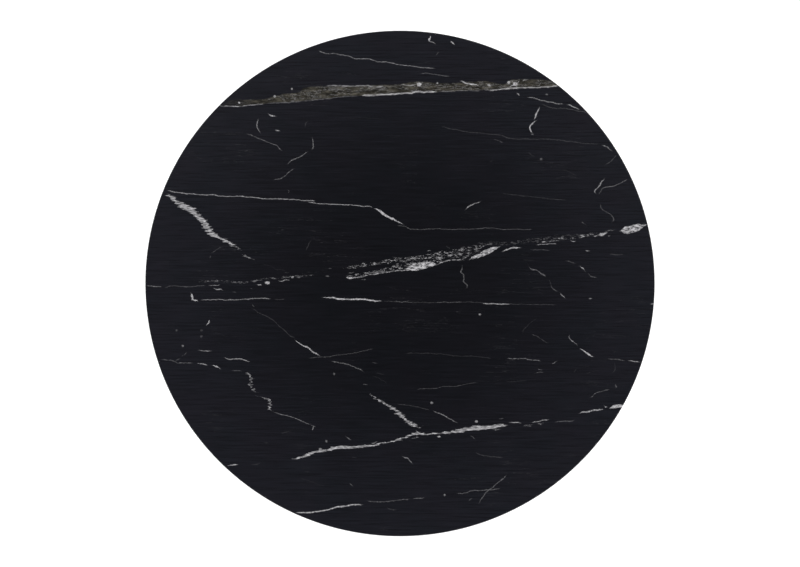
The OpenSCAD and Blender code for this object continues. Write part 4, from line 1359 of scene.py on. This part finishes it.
class TABLE_OT_column(PieceOperator):
    """Builds the column's tube"""
    bl_idname = "table.column"
    bl_label = "Column"

    def execute(self, context):
        low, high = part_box("column_tube")
        inner = high.x - settings("column").wall
        tube = turned("column", [(inner, low.z), (high.x, low.z), (high.x, high.z),
                                 (inner, high.z)], sides=160)
        ease(tube, 0.0004, 2)
        finish(tube, ["column_tube"], paint())
        return {"FINISHED"}


class TABLE_OT_collars(PieceOperator):
    """Builds the two flared collars and their set screws"""
    bl_idname = "table.collars"
    bl_label = "Collars"

    def execute(self, context):
        sizes = settings("column")
        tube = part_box("column_tube")[1].x
        bore = tube + sizes.collar_gap
        screws = []
        for node, name, share, up in (("upper_collar", "collar_over_column", 0.6, -1),
                                      ("lower_collar", "collar_at_foot", 0.62, 1)):
            low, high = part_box(node)
            wide_z = low.z if up > 0 else high.z
            tall = high.z - low.z
            flare_w = high.x - bore - sizes.collar_lip
            flare_h = tall - sizes.collar_edge
            outline = [(bore, 0), (high.x, 0), (high.x, sizes.collar_edge)]
            for i in range(1, 25):
                a = math.pi / 2 * i / 24
                outline.append((high.x - flare_w * math.sin(a), tall - flare_h * math.cos(a)))
            outline.append((bore, tall))
            collar = turned(name, [(r, wide_z + up * z) for r, z in outline], sides=160)
            ease(collar, 0.0005, 2)
            level = wide_z + up * share * tall
            angle = math.acos((tall - share * tall) / flare_h)
            wall = high.x - flare_w * math.sin(angle)
            for i in range(4):
                turn = math.pi / 4 + math.pi / 2 * i
                out = Vector((math.cos(turn), math.sin(turn), 0))
                lift = Vector((0, 0, level))
                carve(collar, rod_along("tap", sizes.screw + 0.0001, out * (tube - 0.002) + lift,
                                        out * (high.x + 0.005) + lift, 32))
                end = wall - 0.0005
                screw = rod_along("screw", sizes.screw, out * tube + lift, out * end + lift, 32)
                ease(screw, 0.0004, 2)
                carve(screw, rod_along("key", 0.0014, out * (end - 0.002) + lift,
                                       out * (end + 0.002) + lift, 6))
                screws.append(screw)
            finish(collar, [node], paint())
        finish(join(screws, "set_screws"), ["collar_set_screws"], oxide())
        return {"FINISHED"}


class TABLE_OT_tie_rod(PieceOperator):
    """Builds the tie rod with its nuts and washers"""
    bl_idname = "table.tie_rod"
    bl_label = "Tie rod"

    def execute(self, context):
        low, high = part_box("tie_rod")
        radius = high.x
        rod = turned("threaded_rod", thread(radius, low.z, low.z + 0.044, 0.002, 0.0009)
                     + [(radius - 0.0006, low.z + 0.045), (radius - 0.0006, high.z - 0.045)]
                     + thread(radius, high.z - 0.044, high.z, 0.002, 0.0009),
                     sides=40, closed=False)
        finish(rod, ["tie_rod"], zinc())
        for node, name in (("upper_rod_nut", "nut_over_hub"), ("lower_rod_nut", "nut_under_base")):
            nut_low, nut_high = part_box(node)
            flats = min(nut_high.x, nut_high.y)
            nut = hexagon(name, flats, nut_low.z, nut_high.z, bore=radius)
            ease(nut, 0.0003, 2)
            finish(nut, [node], zinc(), angle=28)
        for node, name in (("upper_rod_washer", "washer_over_hub"),
                           ("lower_rod_washer", "washer_under_base")):
            ring_low, ring_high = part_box(node)
            bore = radius + settings("column").rod_gap
            ring = turned(name, [(bore, ring_low.z), (ring_high.x, ring_low.z),
                                 (ring_high.x, ring_high.z), (bore, ring_high.z)], sides=64)
            ease(ring, 0.0004, 2)
            finish(ring, [node], zinc())
        return {"FINISHED"}


def dome(inset, foot, flat):
    """Outline of the base from its rim to its flat seat, on the surface inset by a depth"""
    base = settings("base")
    low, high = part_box("base_cover")
    middle = (high.x - base.rim_radius, low.z + base.rim_height - base.rim_radius)
    bend = base.rim_radius - inset
    start = (middle[0] + bend * math.sin(base.slope), middle[1] + bend * math.cos(base.slope))
    meets = start[0] - (flat - start[1]) / math.tan(base.slope)
    return [(high.x - inset, foot),
            *arc(*middle, bend, 0, 90 - math.degrees(base.slope), 12), (meets, flat)]


class TABLE_OT_casting(PieceOperator):
    """Builds the ribbed iron weight"""
    bl_idname = "table.casting"
    bl_label = "Base casting"

    def execute(self, context):
        low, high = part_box("base_casting")
        base = settings("base")
        spigot = settings("spider").spigot
        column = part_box("column_tube")[1].x
        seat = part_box("lower_collar")[1].x + base.seat
        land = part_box("base_cover")[1].z - base.sheet
        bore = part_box("tie_rod")[1].x + settings("column").rod_gap
        recess_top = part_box("lower_rod_washer")[1].z
        foot = Vector(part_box("leveller_pad_1")[0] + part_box("leveller_pad_1")[1]) / 2
        reach = math.hypot(foot.x, foot.y)
        boss, end = column + base.boss, reach - base.land
        half = base.rib / 2
        middle = (boss + end) / 2
        inset = base.sheet + base.gap
        slope = dome(inset, low.z, land)
        slope_end = slope[-2]
        at_seat = slope_end[1] + (slope_end[0] - seat) * math.tan(base.slope)
        outline = [(base.recess, low.z), (boss - half, low.z), (middle, low.z),
                   (end + half, low.z), *slope[:-1], (seat, at_seat), (seat, land),
                   (spigot, land), (spigot, high.z), (bore, high.z), (bore, recess_top),
                   (base.recess, recess_top)]
        casting = turned("iron_weight", outline, sides=12 * base.ribs)
        bpy.ops.object.mode_set(mode="EDIT")
        for inner, outer in ((boss - half, middle), (middle, end + half)):
            for i in range(base.ribs):
                def in_pocket(point, normal, i=i, inner=inner, outer=outer):
                    turn = math.atan2(point.y, point.x) % (2 * math.pi)
                    radius = math.hypot(point.x, point.y)
                    return (normal.z < -0.9 and inner < radius < outer
                            and abs(point.z - low.z) < 1e-4
                            and int(turn / (2 * math.pi) * base.ribs) == i)
                pick_faces(casting, in_pocket)
                bpy.ops.mesh.inset(thickness=half)
                bpy.ops.mesh.extrude_region_move(
                    TRANSFORM_OT_translate={"value": (0, 0, base.pocket)})
                turn = 2 * math.pi * (i + 0.5) / base.ribs
                reach_mid = (inner + outer) / 2
                bpy.ops.transform.resize(value=(0.95, 0.95, 1), center_override=(
                    reach_mid * math.cos(turn), reach_mid * math.sin(turn), low.z + base.pocket))
        bpy.ops.object.mode_set(mode="OBJECT")
        ease(casting, 0.0012, 2, 40)
        holes = []
        for i in LEVELLERS:
            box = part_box("leveller_pad_%d" % i)
            at = ((box[0].x + box[1].x) / 2, (box[0].y + box[1].y) / 2)
            holes.append(turned("hole", [(0.012, low.z - 0.005), (0.012, 0.017), (0.0051, 0.017),
                                         (0.0051, high.z)], sides=48, at=at, closed=False))
        carve(casting, join(holes, "holes"))
        finish(casting, ["base_casting"], iron_material(), angle=32)
        return {"FINISHED"}


class TABLE_OT_cover(PieceOperator):
    """Builds the spun steel cover and the rubber ring inside its rim"""
    bl_idname = "table.cover"
    bl_label = "Base cover"

    def execute(self, context):
        low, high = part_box("base_cover")
        sheet = settings("base").sheet
        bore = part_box("column_tube")[1].x + settings("column").collar_gap
        outer = dome(0, low.z, high.z)
        inner = dome(sheet, low.z, high.z - sheet)
        cover = turned("spun_cover", outer + [(bore, high.z), (bore, high.z - sheet)]
                       + inner[::-1], sides=288)
        ease(cover, 0.0004, 2)
        finish(cover, ["base_cover"], paint())
        ring_low, ring_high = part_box("rim_ring")
        hole = ring_high.x - settings("base").gap
        ring = turned("rubber_ring", [(hole, ring_low.z), (ring_high.x, ring_low.z),
                                      (ring_high.x, ring_high.z), (hole, ring_high.z)], sides=192)
        ease(ring, 0.0007, 3)
        finish(ring, ["rim_ring"],
               soft_material("black_rubber", (0.02, 0.02, 0.02), (0.012, 0.012, 0.012), 900, 0.7,
                             0.0001))
        return {"FINISHED"}


class TABLE_OT_levellers(PieceOperator):
    """Builds the four levellers: a stud, its pad and the felt under it"""
    bl_idname = "table.levellers"
    bl_label = "Levellers"

    def execute(self, context):
        foot = settings("foot")
        pad_low, pad_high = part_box("leveller_pad_1")
        felt_low, felt_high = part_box("leveller_felt_1")
        stud_low, stud_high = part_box("leveller_stud_1")
        at = ((pad_low.x + pad_high.x) / 2, (pad_low.y + pad_high.y) / 2)
        radius = (pad_high.x - pad_low.x) / 2
        button_top = pad_high.z - foot.roof - 0.0001
        hex_low = pad_high.z + 0.0005
        hex_high = hex_low + foot.hexagon
        mouth, socket = foot.neck + 0.0003, foot.button + 0.0003
        roof = pad_high.z - foot.roof
        pad = turned("pad_1", [
            (radius - 0.0005, pad_low.z), (radius, pad_low.z + 0.0005),
            *arc(radius - foot.edge, pad_high.z - foot.edge, foot.edge, 0, 90, 6),
            (mouth, pad_high.z), (mouth, roof), (socket, roof), (socket, pad_low.z + foot.floor)],
            sides=72, at=at, closed=False)
        bpy.ops.object.mode_set(mode="EDIT")

        def grip(point, normal):
            turn = math.atan2(point.y - at[1], point.x - at[0]) % (2 * math.pi)
            wall = math.hypot(point.x - at[0], point.y - at[1]) > radius - 0.0005
            return abs(normal.z) < 0.05 and wall and int(turn / (2 * math.pi) * 72) % 3 == 0
        pick_faces(pad, grip)
        bpy.ops.mesh.inset(thickness=0.0003, depth=-0.0006, use_individual=True)
        bpy.ops.object.mode_set(mode="OBJECT")
        felt_radius = (felt_high.x - felt_low.x) / 2
        felt = turned("felt_1", [(felt_radius - 0.0005, felt_low.z),
                                 (felt_radius, felt_low.z + 0.0006),
                                 (felt_radius - 0.0001, felt_high.z - 0.0004),
                                 (felt_radius - 0.0004, felt_high.z)],
                      sides=64, at=at, closed=False)
        shaft = turned("stud_1", [(foot.button - 0.0004, stud_low.z),
                                  (foot.button, stud_low.z + 0.0004), (foot.button, button_top),
                                  (foot.neck, button_top), (foot.neck, hex_high - 0.001)]
                       + thread(foot.stud, hex_high - 0.0008, stud_high.z, 0.0015, 0.0007),
                       sides=40, at=at, closed=False)
        nut = hexagon("hex", 0.0085, hex_low, hex_high, at=at)
        ease(nut, 0.0002, 2)
        stud = join([shaft, nut], "stud_1")
        nylon = soft_material("black_nylon", (0.03, 0.03, 0.031), (0.018, 0.018, 0.019), 700, 0.45,
                              0.00006)
        felt_look = felt_material()
        kinds = (("pad", pad, "foot", "leveller_pad", "nylon", nylon),
                 ("felt", felt, "foot", "leveller_felt", "felt", felt_look),
                 ("stud", stud, "stud", "leveller_stud", "zinc_steel", zinc()))
        for kind, first, body, node, slot, material in kinds:
            for i in LEVELLERS:
                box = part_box("leveller_pad_%d" % i)
                to = ((box[0].x + box[1].x) / 2 - at[0], (box[0].y + box[1].y) / 2 - at[1], 0)
                piece = first if i == 1 else copy_of(first, move=to)
                piece.name = piece.data.name = "%s_%d" % (kind, i)
                finish(piece, ["%s_%d" % (node, i)], material, "%s_%d" % (body, i), 30)
        return {"FINISHED"}


class TABLE_OT_stage(PieceOperator):
    """Builds the pale floor, the soft lights, the surroundings and the camera"""
    bl_idname = "table.stage"
    bl_label = "Stage"

    def execute(self, context):
        stage = settings("stage")
        deselect()
        bpy.ops.mesh.primitive_plane_add(size=60, location=(0, 0, 0))
        floor = bpy.context.object
        floor.name = "studio_floor"
        material, tree, place, shader = new_material("pale_floor")
        tint = remap(tree, noise(tree, place, 1.5, 2), 0.3, 0.7, 0.985, 1.0)
        pale = blend(tree, tint, tuple(c * 0.96 for c in stage.floor), tuple(stage.floor))
        reach = add(tree, "VectorMath", {0: place}, operation="LENGTH").outputs["Value"]
        feed(tree, shader, Base_Color=pale, Roughness=0.9, Emission_Color=(1, 1, 1, 1),
             Emission_Strength=remap(tree, reach, 1.6, 5.0, 0.42, 1.0, "SMOOTHSTEP"))
        floor.data.materials.append(material)
        floor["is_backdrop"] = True

        middle = Vector((0, 0, CAD_HIGH.z))
        for i in range(4):
            turn = math.radians(40 + 90 * i)
            away = Vector((math.cos(turn) * 2.9, math.sin(turn) * 2.9, 1.9))
            bpy.ops.object.light_add(type="AREA", location=middle + away)
            lamp = bpy.context.object
            lamp.name = "soft_light_%d" % (i + 1)
            lamp.rotation_euler = (-away).to_track_quat("-Z", "Y").to_euler()
            lamp.data.shape = "RECTANGLE"
            lamp.data.size, lamp.data.size_y = 2.2, 1.6
            lamp.data.energy = stage.power * (1.15 if i == 1 else 1.0)

        scene = bpy.context.scene
        world = bpy.data.worlds.new("studio_air")
        scene.world = world
        world.use_nodes = True
        air = world.node_tree
        air.nodes.clear()
        rise = add(air, "SeparateXYZ", {0: add(air, "TexCoord").outputs["Generated"]}).outputs[2]
        glow = remap(air, rise, 0.0, 0.95, 0.75, 0.03)
        seen = add(air, "Background", {"Color": (1, 1, 1, 1), "Strength": 1.0})
        felt = add(air, "Background", {"Color": (1, 1, 1, 1), "Strength": glow})
        pick = add(air, "MixShader", {0: add(air, "LightPath").outputs["Is Camera Ray"],
                                      1: felt.outputs[0], 2: seen.outputs[0]})
        air.links.new(pick.outputs[0], add(air, "OutputWorld").inputs[0])

        bpy.ops.object.camera_add()
        camera = bpy.context.object
        camera.name = "camera"
        camera.data.lens = stage.lens
        back = Vector((0, -math.cos(stage.elevation), math.sin(stage.elevation)))
        camera.location = middle + back * stage.distance - Vector((0, stage.lead, 0))
        camera.rotation_euler = (-back).to_track_quat("-Z", "Y").to_euler()
        camera.data.clip_end = 100
        scene.camera = camera
        scene.view_settings.view_transform = "Standard"
        scene.view_settings.look = "None"
        return {"FINISHED"}


PIECES = (TABLE_OT_slab, TABLE_OT_dabs, TABLE_OT_board, TABLE_OT_hub, TABLE_OT_arms,
          TABLE_OT_bolts, TABLE_OT_column, TABLE_OT_collars, TABLE_OT_tie_rod,
          TABLE_OT_casting, TABLE_OT_cover, TABLE_OT_levellers, TABLE_OT_stage)


class TABLE_PT_pieces(bpy.types.Panel):
    """Lists the table's pieces and their sizes"""
    bl_idname = "TABLE_PT_pieces"
    bl_label = "Pedestal table"
    bl_space_type = "VIEW_3D"
    bl_region_type = "UI"
    bl_category = "Table"

    def draw(self, context):
        for piece in PIECES:
            self.layout.operator(piece.bl_idname)
        for group, kind in SETTINGS.items():
            box = self.layout.box()
            box.label(text=group.capitalize())
            for key in kind.__annotations__:
                box.prop(settings(group), key)


def register():
    """Registers the sizes, the operators and the panel"""
    for group, kind in SETTINGS.items():
        bpy.utils.register_class(kind)
        setattr(bpy.types.Scene, "table_" + group, PointerProperty(type=kind))
    for kind in (*PIECES, TABLE_PT_pieces):
        bpy.utils.register_class(kind)


def unregister():
    """Takes the panel, the operators and the sizes away again"""
    for kind in (TABLE_PT_pieces, *reversed(PIECES)):
        bpy.utils.unregister_class(kind)
    for group, kind in SETTINGS.items():
        delattr(bpy.types.Scene, "table_" + group)
        bpy.utils.unregister_class(kind)


def main():
    """Builds every piece and the stage"""
    register()
    build_groups()
    for piece in PIECES:
        group, name = piece.bl_idname.split(".")
        getattr(getattr(bpy.ops, group), name)()


if __name__ == "__main__":
    main()
